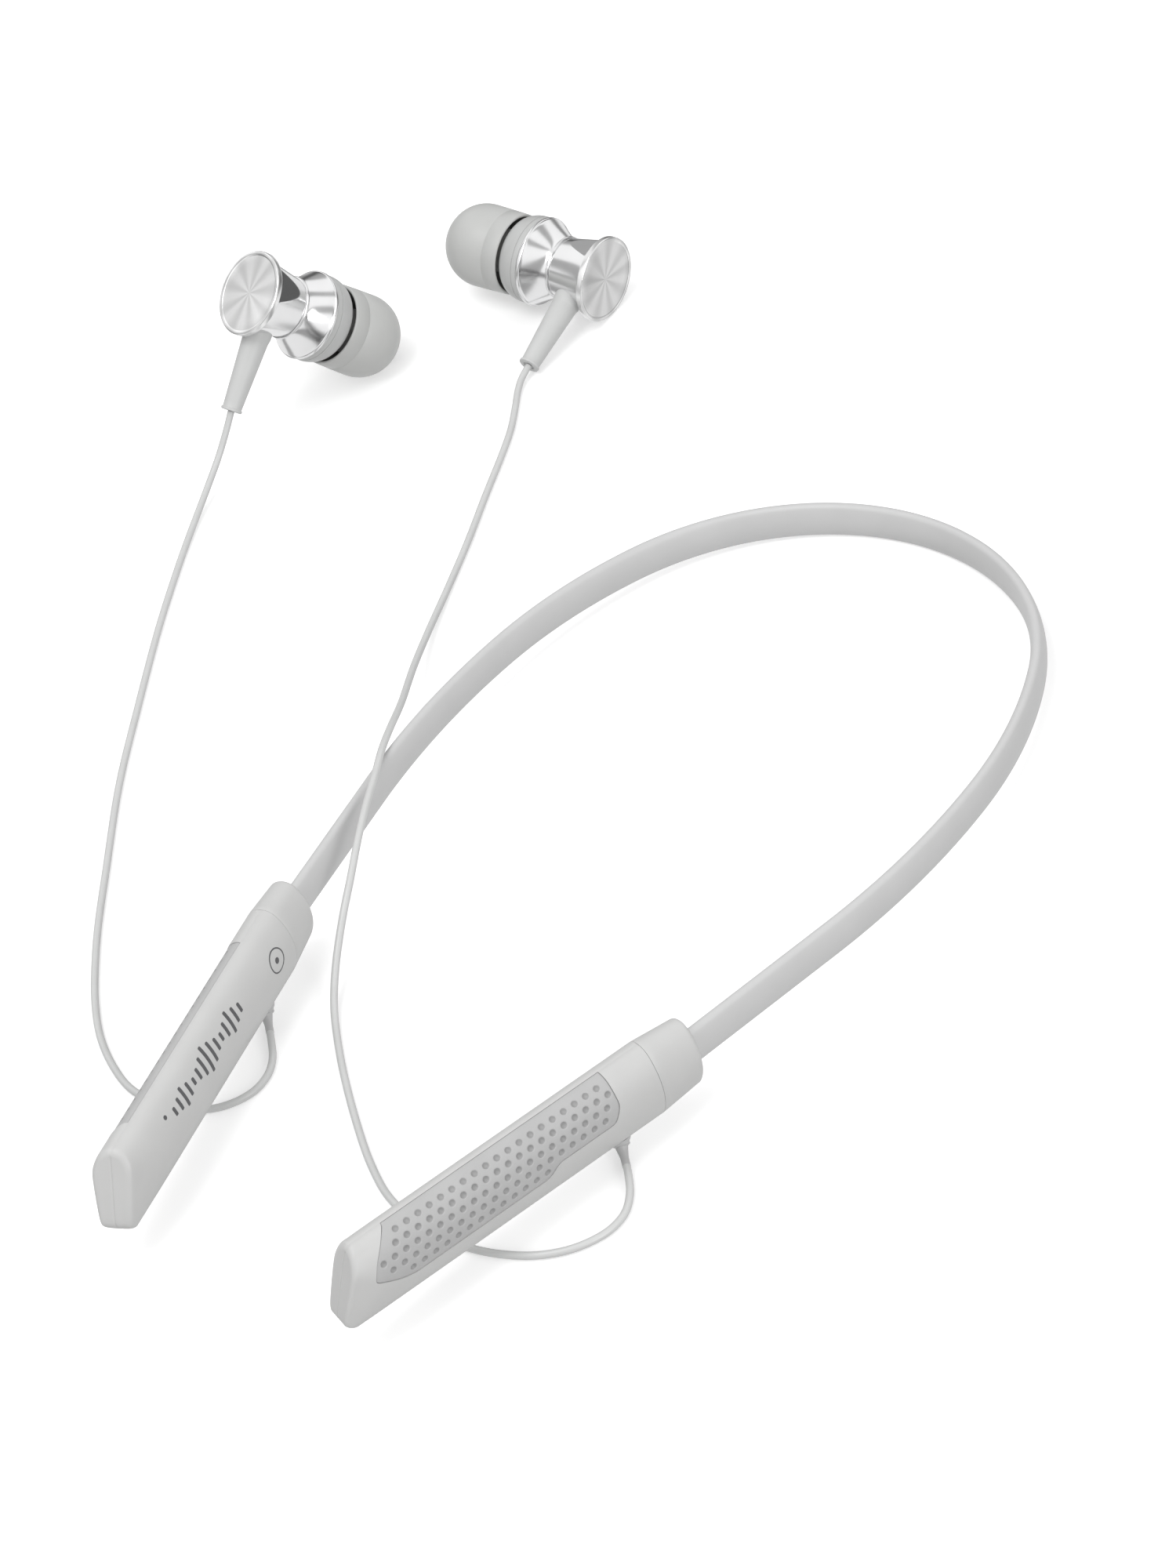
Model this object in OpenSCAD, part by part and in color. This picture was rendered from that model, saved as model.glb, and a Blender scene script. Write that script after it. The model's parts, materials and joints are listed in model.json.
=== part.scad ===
// Neckband earphones: a horseshoe neckband with an electronics pod on each front end,
// and an earbud on a thin cord from each pod. Millimetres, +Z up, the table is z = 0.
// The origin is the centre of the neck opening, +X points to the back of the neck and
// +Y to the wearer's right. The set lies as it would on a table: the back of the band and
// the two cord boots touch it, so the neckband leans back by rest_tilt.

/* [Neckband] */
// Centreline radius of the band behind the neck
band_rear_r = 47; // [42:0.5:54]
// Centreline radius of the band beside the neck
band_side_r = 84; // [78:1:96]
// Centreline radius of the nearly straight part of each arm
band_front_r = 145; // [135:1:160]
// Height of the flat elastomer band
band_h = 6.6; // [6.2:0.1:7.4]
// Thickness of the flat elastomer band
band_t = 2.7; // [2.5:0.1:3.1]

/* [Pods] */
// Length of a pod with its collar, along the middle
pod_len = 70; // [68:0.5:74]
// Height of a pod's cross-section
pod_h = 14.4; // [14:0.1:15.2]
// Thickness of a pod's cross-section
pod_t = 8.8; // [8.6:0.1:9.6]
// Wall of the pod shells
pod_wall = 1.2; // [1.0:0.05:1.3]
// Travel of a control button
button_travel = 0.4; // [0.2:0.05:0.5]

/* [Earbuds] */
// Size of the whole earbud against the diameters below
bud_scale = 1.12; // [1:0.01:1.12]
// Outside diameter of the spun metal cap
cap_d = 14.6; // [13:0.1:15]
// Outside diameter of the front ring
ring_d = 15.4; // [15:0.1:16]
// Outside diameter of the silicone ear tip
tip_d = 14.4; // [13.6:0.1:14.6]
// Diameter of the earphone cord
cord_d = 1.3; // [1.2:0.05:1.4]

/* [Hidden] */
$fn = 64;

// How the neckband leans on the table
rest_tilt = 3;
rest_lift = 5.85;

// Plan of each half of the band: three arcs, then a straight run
rear_turn = 65;
side_turn = 21;
front_turn = 15.5;
straight_len = 30;
socket_depth = 6;

// Band section
band_round = 1.15;
wire_r = 0.5;
wire_z = 1.6;
cable_r = 0.7;
cable_z = -1.4;
flex_open = 12.5;
flex_close = 4.5;
wire_end_gap = 0.3;
run_step = 0.01;
run_lap = 0.1;

// Pod
pod_kink = 3.5;
collar_start = 1;
collar_end = 9.5;
collar_narrow = 0.88;
edge_r = 3.2;
// the tip's end face: [x, z] of its top, its foremost and its lower edge, and its turn in plan
tip_top = [66.5, 7.2];
tip_fore = [71.9, -4.6];
tip_low = [69.4, -7.2];
tip_turn = 7;
// the faces draw in towards the tip: [start, slope] of the outer and the inner one
taper_outer = [65.3, 0.3];
taper_inner = [60, 0.16];
spigot_len = 2;
fit_gap = 0.05;
panel_x0 = 17.5;
panel_x1 = 66;
panel_step_x = 31.4;
panel_low = -2;
panel_low_rear = -0.3;
panel_depth = 0.6;
panel_set_back = 0.12;
screw_at = [[21, 3], [60, 2]];
screw_seat = 2;
boss_r = 1.9;
screw_r = 0.7;
screw_head_r = 1.2;

// Controls, on the inner face of the left pod
button_x = [28, 36, 44];
button_len = [5.6, 6.4, 5.6];
button_w = 3.6;
button_proud = 0.5;
button_gap = 0.15;
flange_y = 2.3;
flange_t = 0.5;
flange_lip = 0.4;
board_y = -0.9;
board_t = 0.8;
switch_h = 1.2;
switch_floor = 0.3;
plunger_r = 0.8;
plunger_foot = 0.8;
usb_x = 51;
board_x0 = 24;
board_x1 = 56;
light_at = [24.8, 3.3];
mic_at = [50.5, 3.2];

// Gland
gland_x = 17;
gland_bend = 2;
gland_ring_h = 0.6;
gland_r = 1.05;
gland_heading = 225;

// Earbud, measured along its axis from the cap's outer face, all at a bud_scale of 1
cap_t = 1.1;
waist = 8.4;
waist_r = 5.2;
ring_at = 13;
ring_edge = 0.6;
housing_end = 18.4;
nozzle_r = 2.9;
nozzle_end = 26.4;
tip_start = 18.4;
sleeve_start = 19;
tip_end = 32;
boot_at = 4.6;
boot_r = 2.25;
boot_len = 19.5;
facet_r = 5.1;

// Where each earbud lies: cap centre, heading, nose-down angle and spin about its axis
bud_right_at = [36.18, 139.01, 29.65];
bud_right_turn = [341.3, 49.7, -12.5];
bud_left_at = [83.77, 95.21, 8.21];
bud_left_turn = [91.3, -3.8, 72.5];

// Route of each cord, from its gland to its earbud's boot
route_right = [[-97.9, 34.3, 1.06], [-99.6, 32.6, 1], [-102.2, 30.3, 0.8],
  [-105.5, 28.7, 0.7], [-109.3, 28.5, 0.7], [-113, 30.2, 0.7], [-116, 33.6, 0.7],
  [-118, 40, 0.7], [-117.8, 48, 0.7], [-115, 55, 0.7], [-110.3, 62.2, 0.7],
  [-104.3, 68.6, 0.7], [-97.5, 74.5, 0.7], [-89.4, 80.8, 0.7], [-78, 88.8, 0.7],
  [-60, 101.2, 0.7], [-42, 112, 0.7], [-24, 122.4, 0.7], [-10, 129.8, 0.7],
  [-1, 134.2, 0.8], [6, 137.1, 1.4], [11.5, 138.6, 3], [16, 139, 5.6],
  [19.6, 138.85, 8.9], [22.43, 138.68, 11.9]];
route_left = [[-97.9, -40.35, 1.06], [-99.6, -42, 1], [-102.4, -44.2, 0.8],
  [-106.3, -45.8, 0.7], [-111, -45.2, 0.7], [-116, -41.8, 0.7], [-119.8, -36, 0.7],
  [-122, -27.5, 0.7], [-121.7, -17.5, 0.7], [-119, -8.3, 0.7], [-114.4, -0.6, 0.7],
  [-107.8, 7.8, 0.7], [-100, 16.7, 0.7], [-93, 23.8, 0.9], [-88, 28, 1.8],
  [-82.5, 31.2, 4], [-76, 33.8, 7.4], [-69.5, 36, 10.6], [-63, 38.8, 12.7],
  [-56.5, 42, 13.4], [-50, 45.3, 13.3], [-43.5, 49, 12.7], [-37, 52.9, 10.8],
  [-28, 58.6, 7.3], [-17, 65.6, 4], [-6, 71.4, 1.7], [5, 76, 0.8], [17, 80.6, 0.7],
  [30, 86, 0.7], [40, 90, 0.7], [47, 93.1, 0.7], [52.8, 96.4, 0.7], [57, 98.9, 0.8],
  [60, 100.1, 1.2], [62.82, 100.32, 2]];

// ---- Curve helpers ----

// One point of a Catmull-Rom curve through p, at t from 0 to 1
function spline_at(p, t) =
  let (n = len(p) - 1, k = min(floor(t * n), n - 1), u = t * n - k,
       a = p[max(k - 1, 0)], b = p[k], c = p[k + 1], d = p[min(k + 2, n)])
  0.5 * ((2 * b) + (c - a) * u + (2 * a - 5 * b + 4 * c - d) * u * u
         + (3 * b - a - 3 * c + d) * u * u * u);

function unit(v) = v / norm(v);

// A closed tube of radius r along points p: sides corners a ring, joined ring to ring
module tube(p, r, sides) {
  n = len(p);
  rings = [for (i = [0 : n - 1])
    let (t = unit(p[min(i + 1, n - 1)] - p[max(i - 1, 0)]),
         s = unit(cross(t, [0, 0, 1])),
         u = cross(s, t))
    for (k = [0 : sides - 1]) p[i] + r * (cos(k * 360 / sides) * s + sin(k * 360 / sides) * u)];
  walls = [for (i = [0 : n - 2], k = [0 : sides - 1])
    let (a = i * sides + k, b = i * sides + (k + 1) % sides)
    each [[a, b, a + sides], [b, b + sides, a + sides]]];
  first = [for (k = [1 : sides - 2]) [0, k + 1, k]];
  last = [for (k = [1 : sides - 2]) [(n - 1) * sides, (n - 1) * sides + k, (n - 1) * sides + k + 1]];
  polyhedron(points = rings, faces = concat(walls, first, last), convexity = 6);
}

// ---- Places ----

// The neckband lies level in its own frame and leans back on the table
module leaned() {
  translate([0, 0, rest_lift]) rotate([0, rest_tilt, 0]) children();
}

// The right half is drawn, and the left half is its mirror image
module handed(side) {
  mirror([0, side == "left" ? 1 : 0, 0]) children();
}

// End of the band's straight run, in the neckband's plane
function arc_end(p, r, from, turn) =
  [p[0] + r * (cos(from + turn) - cos(from)), p[1] + r * (sin(from + turn) - sin(from))];
rear_end = arc_end([band_rear_r, 0], band_rear_r, 0, rear_turn);
side_end = arc_end(rear_end, band_side_r, rear_turn, side_turn);
front_end = arc_end(side_end, band_front_r, rear_turn + side_turn, front_turn);
arm_angle = rear_turn + side_turn + front_turn;
arm_end = [front_end[0] - straight_len * sin(arm_angle), front_end[1] + straight_len * cos(arm_angle)];

// A pod's own frame: x runs from the band to the pod's tip, y to the inner side
module at_pod(side) {
  leaned() handed(side) translate([arm_end[0], arm_end[1], 0])
    rotate([0, 0, 90 + arm_angle + pod_kink]) children();
}

module at_bud(side) {
  at = side == "right" ? bud_right_at : bud_left_at;
  turn = side == "right" ? bud_right_turn : bud_left_turn;
  translate(at) rotate([0, 0, turn[0]]) rotate([0, 90 + turn[1], 0]) rotate([0, 0, turn[2]])
    scale(bud_scale) children();
}

// ---- Band ----

// The band's section, made slimmer by slim, with a channel for the wire and one for the cable
module band_section(slim) {
  difference() {
    union() {
      square([band_t - 2 * band_round, band_h - 2 * slim], center = true);
      square([band_t - 2 * slim, band_h - 2 * band_round], center = true);
      for (sx = [-1, 1], sz = [-1, 1])
        translate([sx * (band_t / 2 - band_round), sz * (band_h / 2 - band_round)])
          circle(band_round - slim, $fn = 32);
    }
    translate([0, wire_z]) circle(wire_r + fit_gap + slim, $fn = 24);
    translate([0, cable_z]) circle(cable_r + fit_gap + slim, $fn = 24);
  }
}

module strand_section(strand, slim) {
  if (strand == "band") band_section(slim);
  if (strand == "wire") translate([0, wire_z]) circle(wire_r - slim, $fn = 24);
  if (strand == "cable") translate([0, cable_z]) circle(cable_r - slim, $fn = 24);
}

module band_arc(start, r, from, turn) {
  translate([start[0] - r * cos(from), start[1] - r * sin(from), 0]) rotate([0, 0, from])
    rotate_extrude(angle = turn + run_lap / r * 180 / PI, $fn = 180) translate([r, 0]) children();
}

// Sweeps a strand along the right half of the band and on past the arm's end by extra.
// Alternate runs are slimmer by run_step and overlap by run_lap, so they join as one solid.
module band_sweep(strand, extra) {
  band_arc([band_rear_r, 0], band_rear_r, 0, rear_turn) strand_section(strand, 0);
  band_arc(rear_end, band_side_r, rear_turn, side_turn) strand_section(strand, run_step);
  band_arc(side_end, band_front_r, rear_turn + side_turn, front_turn) strand_section(strand, 0);
  translate([front_end[0], front_end[1], 0]) rotate([0, 0, arm_angle])
    rotate([90, 0, 0]) translate([0, 0, -straight_len - extra])
      linear_extrude(straight_len + extra) strand_section(strand, run_step);
}

// Wedges cut from the left half's back end, so that it can turn on the right half
module flex_wedges() {
  reach = band_t;
  translate([band_rear_r, 0, -band_h]) linear_extrude(2 * band_h) {
    polygon([[0, 0], [reach, -0.01], [reach, reach * tan(flex_open)]]);
    polygon([[0, 0], [-reach, -0.01], [-reach, reach * tan(flex_close)]]);
  }
}

module band(side) {
  leaned() handed(side) difference() {
    band_sweep("band", socket_depth);
    if (side == "left") flex_wedges();
  }
}

// Cuts the end of an inner lead back from the flex point
module lead_end_cut() {
  translate([band_rear_r - 2, -1, -5]) cube([4, 1 + wire_end_gap, 10]);
}

module memory_wire(side) {
  leaned() handed(side) difference() {
    band_sweep("wire", socket_depth - 1);
    lead_end_cut();
  }
}

module band_cable(side) {
  leaned() handed(side) difference() {
    band_sweep("cable", socket_depth);
    lead_end_cut();
  }
}

// ---- Pod shells ----

// Convex section of a pod, drawn inset by w: two broad faces and two rounded edges
module pod_section(w) {
  half_t = pod_t / 2;
  edge_c = pod_h / 2 - edge_r;
  // broad radius that is tangent to the edge radius
  face_r = (half_t * half_t + edge_c * edge_c - edge_r * edge_r) / (2 * (half_t - edge_r));
  face_c = face_r - half_t;
  touch = face_r * edge_c / norm([face_c, edge_c]);
  intersection() {
    translate([-face_c, 0]) circle(face_r - w, $fn = 128);
    translate([face_c, 0]) circle(face_r - w, $fn = 128);
    square([pod_t, 2 * touch], center = true);
  }
  for (s = [-1, 1]) translate([0, s * edge_c]) circle(edge_r - w, $fn = 48);
}

// Extrudes a section along a pod, from x0 to x1
module along_pod(x0, x1) {
  translate([x0, 0, 0]) rotate([90, 0, 90]) linear_extrude(x1 - x0) children();
}

// What is cut off a pod's front end: the slanted tip with its lower corner taken off, inset by w
module tip_cut(w) {
  past = 20;
  rise = (tip_fore[0] - tip_top[0]) / (tip_top[1] - tip_fore[1]);
  fall = (tip_fore[0] - tip_low[0]) / (tip_fore[1] - tip_low[1]);
  back = 1.35 * w;
  // distances along the turned profile, from the line at x = pod_len
  top = (tip_top[0] - 2 * rise - pod_len - back) * cos(tip_turn);
  fore = (tip_fore[0] - pod_len - back) * cos(tip_turn);
  low = (tip_low[0] - 2 * fall - pod_len - back) * cos(tip_turn);
  translate([pod_len, 0, 0]) rotate([0, 0, tip_turn]) translate([0, past, 0])
    rotate([90, 0, 0]) linear_extrude(2 * past)
      polygon([[top, tip_top[1] + 2], [fore, tip_fore[1]], [low, tip_low[1] - 2],
        [past, tip_low[1] - 2], [past, tip_top[1] + 2]]);
}

// What is cut off a broad face near the tip, in plan, inset by w
module taper_cut(w, start, way) {
  run = 16;
  edge = pod_t / 2 - w;
  translate([0, 0, -pod_h]) linear_extrude(2 * pod_h)
    polygon([[start[0], way * edge], [start[0] + run, way * (edge - run * start[1])],
      [start[0] + run, way * pod_t], [start[0], way * pod_t]]);
}

module pod_solid(w, x0) {
  difference() {
    along_pod(x0, pod_len + 8) pod_section(w);
    tip_cut(w);
    taper_cut(w, taper_outer, -1);
    taper_cut(w, taper_inner, 1);
  }
}

// Outline of the grip panel, seen from the side. It runs over the top to the parting plane,
// has a step in its lower edge and comes to a blunt point near the slanted tip.
module panel_outline() {
  over_top = pod_h;
  polygon([[panel_x0, over_top], [panel_x0 - 0.1, 2.3], [panel_x0 + 1.3, panel_low_rear + 0.4],
    [panel_x0 + 2.1, panel_low_rear], [panel_step_x - 1.2, panel_low_rear],
    [panel_step_x, panel_low_rear - 0.6], [panel_step_x + 1.4, panel_low],
    [panel_x1 - 7.5, panel_low], [panel_x1 - 5.2, panel_low + 0.6], [panel_x1 - 2.9, panel_low + 1.6],
    [panel_x1 - 0.4, panel_low + 2.8], [panel_x1, panel_low + 3.6], [panel_x1 - 1.5, 3.7],
    [panel_x1 - 4.1, 6.3], [panel_x1 - 5.4, 7], [panel_x1 - 5.8, over_top]]);
}

// The layer of a pod's outer side between two depths, under the panel's outline
module panel_layer(top, bottom) {
  difference() {
    intersection() {
      along_pod(panel_x0, panel_x1 + 1) pod_section(top);
      rotate([90, 0, 0]) linear_extrude(pod_t) panel_outline();
    }
    along_pod(panel_x0 - 1, panel_x1 + 2) pod_section(bottom);
  }
}

module pod_half(outer) {
  y0 = outer ? -pod_t : 0;
  intersection() {
    difference() {
      pod_solid(0, collar_end);
      pod_solid(pod_wall, collar_end - 1);
    }
    translate([0, y0, -pod_h]) cube([2 * pod_len, pod_t, 2 * pod_h]);
  }
}

// Screw bosses that reach from a shell's wall to the parting plane
module bosses(outer) {
  intersection() {
    pod_solid(pod_wall - 0.2, collar_end);
    for (p = screw_at) translate([p[0], 0, p[1]]) rotate([outer ? 90 : -90, 0, 0]) cylinder(r = boss_r, h = pod_t);
  }
}

module gland_hole() {
  translate([gland_x, 0, -pod_h]) cylinder(r = gland_r + fit_gap, h = pod_h);
}

module pod_outer_shell(side) {
  at_pod(side) difference() {
    union() {
      pod_half(true);
      bosses(true);
    }
    panel_layer(-1, panel_depth);
    for (p = screw_at) translate([p[0], 0, p[1]]) rotate([90, 0, 0]) {
      cylinder(r = screw_r + fit_gap, h = pod_t);
      translate([0, 0, screw_seat]) cylinder(r = screw_head_r + fit_gap, h = pod_t);
    }
    gland_hole();
    if (side == "left") usb_mouth();
  }
}

module pod_inner_shell(side) {
  at_pod(side) difference() {
    union() {
      pod_half(false);
      bosses(false);
    }
    for (p = screw_at) translate([p[0], -1, p[1]]) rotate([-90, 0, 0]) cylinder(r = screw_r, h = 3);
    gland_hole();
    if (side == "left") {
      usb_mouth();
      for (i = [0 : 2]) button_prism(i, button_gap, 1, pod_t);
      translate([light_at[0], 0, light_at[1]]) rotate([-90, 0, 0]) cylinder(r = 0.6 + fit_gap, h = pod_t);
      translate([mic_at[0], 0, mic_at[1]]) rotate([-90, 0, 0]) cylinder(r = 0.4, h = pod_t);
    }
  }
}

module grip_panel(side) {
  at_pod(side) panel_layer(panel_set_back, panel_depth);
}

// Two self-tapping screws join each pod's shells under its grip panel
module pod_screws(side) {
  shank_end = -1.9;
  at_pod(side) for (p = screw_at) translate([p[0], 0, p[1]]) rotate([90, 0, 0]) {
    translate([0, 0, shank_end]) cylinder(r = screw_r, h = screw_seat - shank_end);
    translate([0, 0, screw_seat]) difference() {
      cylinder(r = screw_head_r, h = 0.8);
      translate([0, 0, 0.4]) cylinder(r = 0.45, h = 1, $fn = 6);
    }
  }
}

// The collar narrows from the pod to the band and plugs into the pod's shells
module collar(side) {
  at_pod(side) difference() {
    union() {
      hull() {
        along_pod(collar_start, collar_start + 0.4) scale(collar_narrow) pod_section(0, $fn = 32);
        along_pod(collar_end - 0.4, collar_end) pod_section(0, $fn = 32);
      }
      along_pod(collar_end, collar_end + spigot_len) pod_section(pod_wall + fit_gap);
    }
    rotate([0, 0, -pod_kink]) translate([-1, -band_t / 2, -band_h / 2])
      cube([1 + socket_depth, band_t, band_h]);
    translate([0, -2.2, -2.5]) cube([collar_end + spigot_len + 1, 4.4, 3]);
  }
}

// ---- Inside the right pod ----

module battery() {
  at_pod("right") color("silver") translate([24, -2, -3.6]) cube([32, 4, 7.4]);
}

module protection_board() {
  at_pod("right") translate([12, -0.4, -3.2]) cube([4, 0.8, 6.4]);
}

// ---- Inside the left pod ----

module main_board() {
  at_pod("left") translate([board_x0, board_y, -5]) difference() {
    cube([board_x1 - board_x0, board_t, 10]);
    translate([usb_x - board_x0 - 3.8, -1, -1]) cube([7.6, 3, 4.6]);
  }
}

module bluetooth_module() {
  at_pod("left") translate([28, board_y - 0.9, -3]) cube([7, 0.9, 6]);
}

module usb_mouth() {
  translate([usb_x - 3.8, -1.3, -pod_h]) cube([7.6, 2.6, pod_h]);
}

// Micro connector: a metal shell with a tongue, open through the pod's lower edge
module usb_port() {
  at_pod("left") translate([usb_x, 0, 0]) {
    difference() {
      translate([-3.7, -1.25, -6.8]) cube([7.4, 2.5, 5.2]);
      translate([-3.4, -0.95, -7.8]) cube([6.8, 1.9, 5.8]);
    }
    translate([-2.3, -0.3, -6]) cube([4.6, 0.6, 4]);
  }
}

module switch_housings() {
  at_pod("left") for (x = button_x) translate([x, board_y + board_t, 0]) difference() {
    translate([-1.6, 0, -1.6]) cube([3.2, switch_h, 3.2]);
    translate([0, switch_floor, 0]) rotate([-90, 0, 0]) cylinder(r = plunger_r + fit_gap, h = switch_h);
  }
}

module microphone() {
  at_pod("left") translate([mic_at[0] - 1.5, board_y + board_t, mic_at[1] - 1]) cube([3, 0.9, 2]);
}

// Light pipe over a small lamp on the board, flush with the inner shell
module status_light() {
  at_pod("left") {
    translate([light_at[0] - 0.6, board_y + board_t, light_at[1] - 0.6]) cube([1.2, 0.5, 1.2]);
    intersection() {
      translate([light_at[0], board_y + board_t + 0.5, light_at[1]]) rotate([-90, 0, 0])
        cylinder(r = 0.6, h = pod_t);
      along_pod(light_at[0] - 1, light_at[0] + 1) pod_section(0);
    }
  }
}

// Stadium-shaped prism under a button, grown by gap, from y0 to y1
module button_prism(i, gap, y0, y1) {
  half = (button_len[i] - button_w) / 2;
  r = button_w / 2 + gap;
  translate([button_x[i], y0, 0]) rotate([-90, 0, 0]) {
    for (s = [-1, 1]) translate([s * half, 0, 0]) cylinder(r = r, h = y1 - y0);
    translate([-half, -r, 0]) cube([2 * half, 2 * r, y1 - y0]);
  }
}

// A button follows the pod's surface and is held from inside by a flange
module button(i) {
  at_pod("left") {
    intersection() {
      button_prism(i, 0, flange_y, pod_t);
      along_pod(button_x[i] - 6, button_x[i] + 6) pod_section(-button_proud);
    }
    translate([button_x[i] - button_len[i] / 2 - flange_lip, flange_y, -button_w / 2 - flange_lip])
      cube([button_len[i] + 2 * flange_lip, flange_t, button_w + 2 * flange_lip]);
  }
}

module plunger(i) {
  foot = board_y + board_t + plunger_foot;
  at_pod("left") translate([button_x[i], foot, 0]) rotate([-90, 0, 0])
    cylinder(r = plunger_r, h = flange_y - foot);
}

// ---- Cords and glands ----

// A gland bends from the pod's lower edge to lie along the table
module gland(side) {
  at_pod(side) {
    translate([gland_x, 0, -pod_h / 2 - gland_ring_h]) cylinder(r = 1.7, h = gland_ring_h);
    translate([gland_x, 0, -pod_h / 2 - 0.1]) cylinder(r = gland_r, h = 2.4);
  }
  translate(gland_root(side)) rotate([0, 0, gland_heading]) {
    translate([gland_bend, 0, 0]) rotate([-90, 0, 0]) rotate([0, 0, 90])
      rotate_extrude(angle = 90, $fn = 64) translate([gland_bend, 0]) circle(gland_r, $fn = 32);
    translate([gland_bend, 0, -gland_bend]) rotate([0, 90, 0]) cylinder(r1 = gland_r, r2 = 0.95, h = 2.2);
  }
}

// Where the gland's bend starts, under the pod
function gland_root(side) =
  let (a = 90 + arm_angle + pod_kink, x = arm_end[0] + gland_x * cos(a), y = arm_end[1] + gland_x * sin(a),
       z = -pod_h / 2 - gland_ring_h + 0.05)
  [x * cos(rest_tilt) + z * sin(rest_tilt), (side == "left" ? -1 : 1) * y,
   rest_lift - x * sin(rest_tilt) + z * cos(rest_tilt)];

module cord(p) {
  rings = 44;
  tube([for (i = [0 : rings - 1]) spline_at(p, i / (rings - 1))], cord_d / 2, 8);
}

// ---- Earbuds ----

module bud_cap(side) {
  at_bud(side) {
    cylinder(r1 = cap_d / 2 - 0.25, r2 = cap_d / 2, h = 0.25);
    translate([0, 0, 0.25]) cylinder(r = cap_d / 2, h = cap_t - 0.25);
    translate([0, 0, cap_t]) cylinder(r = 4.6, h = 0.8);
  }
}

// The barrel tapers to its waist and has one flat facet with a vent slot along it
module bud_barrel(side) {
  spin = side == "right" ? -120 : 120;
  at_bud(side) difference() {
    translate([0, 0, cap_t]) cylinder(r1 = 6.6, r2 = waist_r, h = waist - cap_t);
    translate([0, 0, cap_t - 1]) cylinder(r1 = 5.4, r2 = 4.1, h = waist - cap_t + 1);
    translate([0, 0, waist - 0.5]) cylinder(r = 4.1, h = 1);
    rotate([0, 0, spin]) translate([facet_r + 0.5, -6, cap_t + 0.6]) cube([4, 12, waist - cap_t - 1.6]);
    rotate([0, 0, spin]) translate([facet_r, -3.6, cap_t + 1.2]) cube([4, 0.4, 5]);
    translate([0, 0, boot_at]) rotate([0, 90, 0]) cylinder(r = boot_r + 0.02, h = 10);
  }
}

module bud_front_cone(side) {
  at_bud(side) difference() {
    union() {
      translate([0, 0, waist]) cylinder(r1 = waist_r + 0.1, r2 = ring_d / 2 - 0.3, h = ring_at - waist);
      translate([0, 0, ring_at]) cylinder(r = ring_d / 2, h = ring_edge);
    }
    translate([0, 0, waist - 0.01]) cylinder(r1 = 4.1, r2 = 6.5, h = ring_at - waist + 0.01);
    translate([0, 0, ring_at - 0.01]) cylinder(r = 6.5, h = ring_edge + 0.02);
  }
}

// Grey plastic front: a rounded ring, a dome that closes it and the nozzle tube
module bud_nozzle(side) {
  seat = ring_at + ring_edge;
  dome = [for (a = [0 : 15 : 75]) [nozzle_r + 2.2 + (ring_d / 2 - 0.1 - nozzle_r - 2.2) * cos(a),
    seat + 1 + (housing_end - seat - 1) * sin(a)]];
  at_bud(side) difference() {
    rotate_extrude($fn = 96) polygon(concat([[2, seat], [ring_d / 2 - 0.1, seat]], dome,
      [[nozzle_r + 2.2, housing_end], [nozzle_r, housing_end], [nozzle_r, nozzle_end], [2, nozzle_end]]));
    translate([0, 0, seat - 1]) cylinder(r = 6.1, h = 2.4);
    translate([0, 0, seat]) cylinder(r1 = 5.6, r2 = 2, h = housing_end - seat - 0.4);
  }
}

module bud_driver(side) {
  at_bud(side) translate([0, 0, 12.2]) cylinder(r = 6, h = 2.8);
}

module bud_magnet(side) {
  at_bud(side) translate([0, 0, 10]) cylinder(r = 3.9, h = 2.2);
}

module bud_mesh(side) {
  at_bud(side) translate([0, 0, nozzle_end - 0.4]) cylinder(r = 2, h = 0.4);
}

module bud_boot(side) {
  at_bud(side) translate([0, 0, boot_at]) rotate([0, 90, 0]) {
    translate([0, 0, 4.2]) cylinder(r = boot_r, h = 3);
    translate([0, 0, 7.2]) cylinder(r1 = boot_r, r2 = 1.65, h = boot_len - 7.6);
    translate([0, 0, boot_len - 0.4]) cylinder(r = 1.8, h = 0.4);
  }
}

// Mushroom-shaped silicone tip: a sleeve on the nozzle and a hollow skirt
module ear_tip(side) {
  r = tip_d / 2;
  mid = 25.4;
  nose = [for (a = [0 : 10 : 60]) [r * cos(a), mid + (tip_end - mid) * sin(a) / sin(75)]];
  inner = [for (a = [60 : -10 : 0]) [(r - 0.6) * cos(a), mid + (tip_end - mid - 0.6) * sin(a) / sin(75)]];
  at_bud(side) rotate_extrude($fn = 96) polygon(concat(
    [[r - 0.7, tip_start], [r - 0.15, tip_start]], nose,
    [[2.2, tip_end], [2.2, 28.6], [nozzle_r + fit_gap, 28.6], [nozzle_r + fit_gap, sleeve_start],
     [nozzle_r + 0.9, sleeve_start], [nozzle_r + 0.9, 28]],
    [for (p = inner) if (p[0] > nozzle_r + 0.9 && p[1] < 30.4) p]));
}

// ---- Nodes ----

soft_white = [0.86, 0.86, 0.86];
soft_grey = [0.74, 0.74, 0.74];
light_grey = [0.8, 0.82, 0.82];

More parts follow.
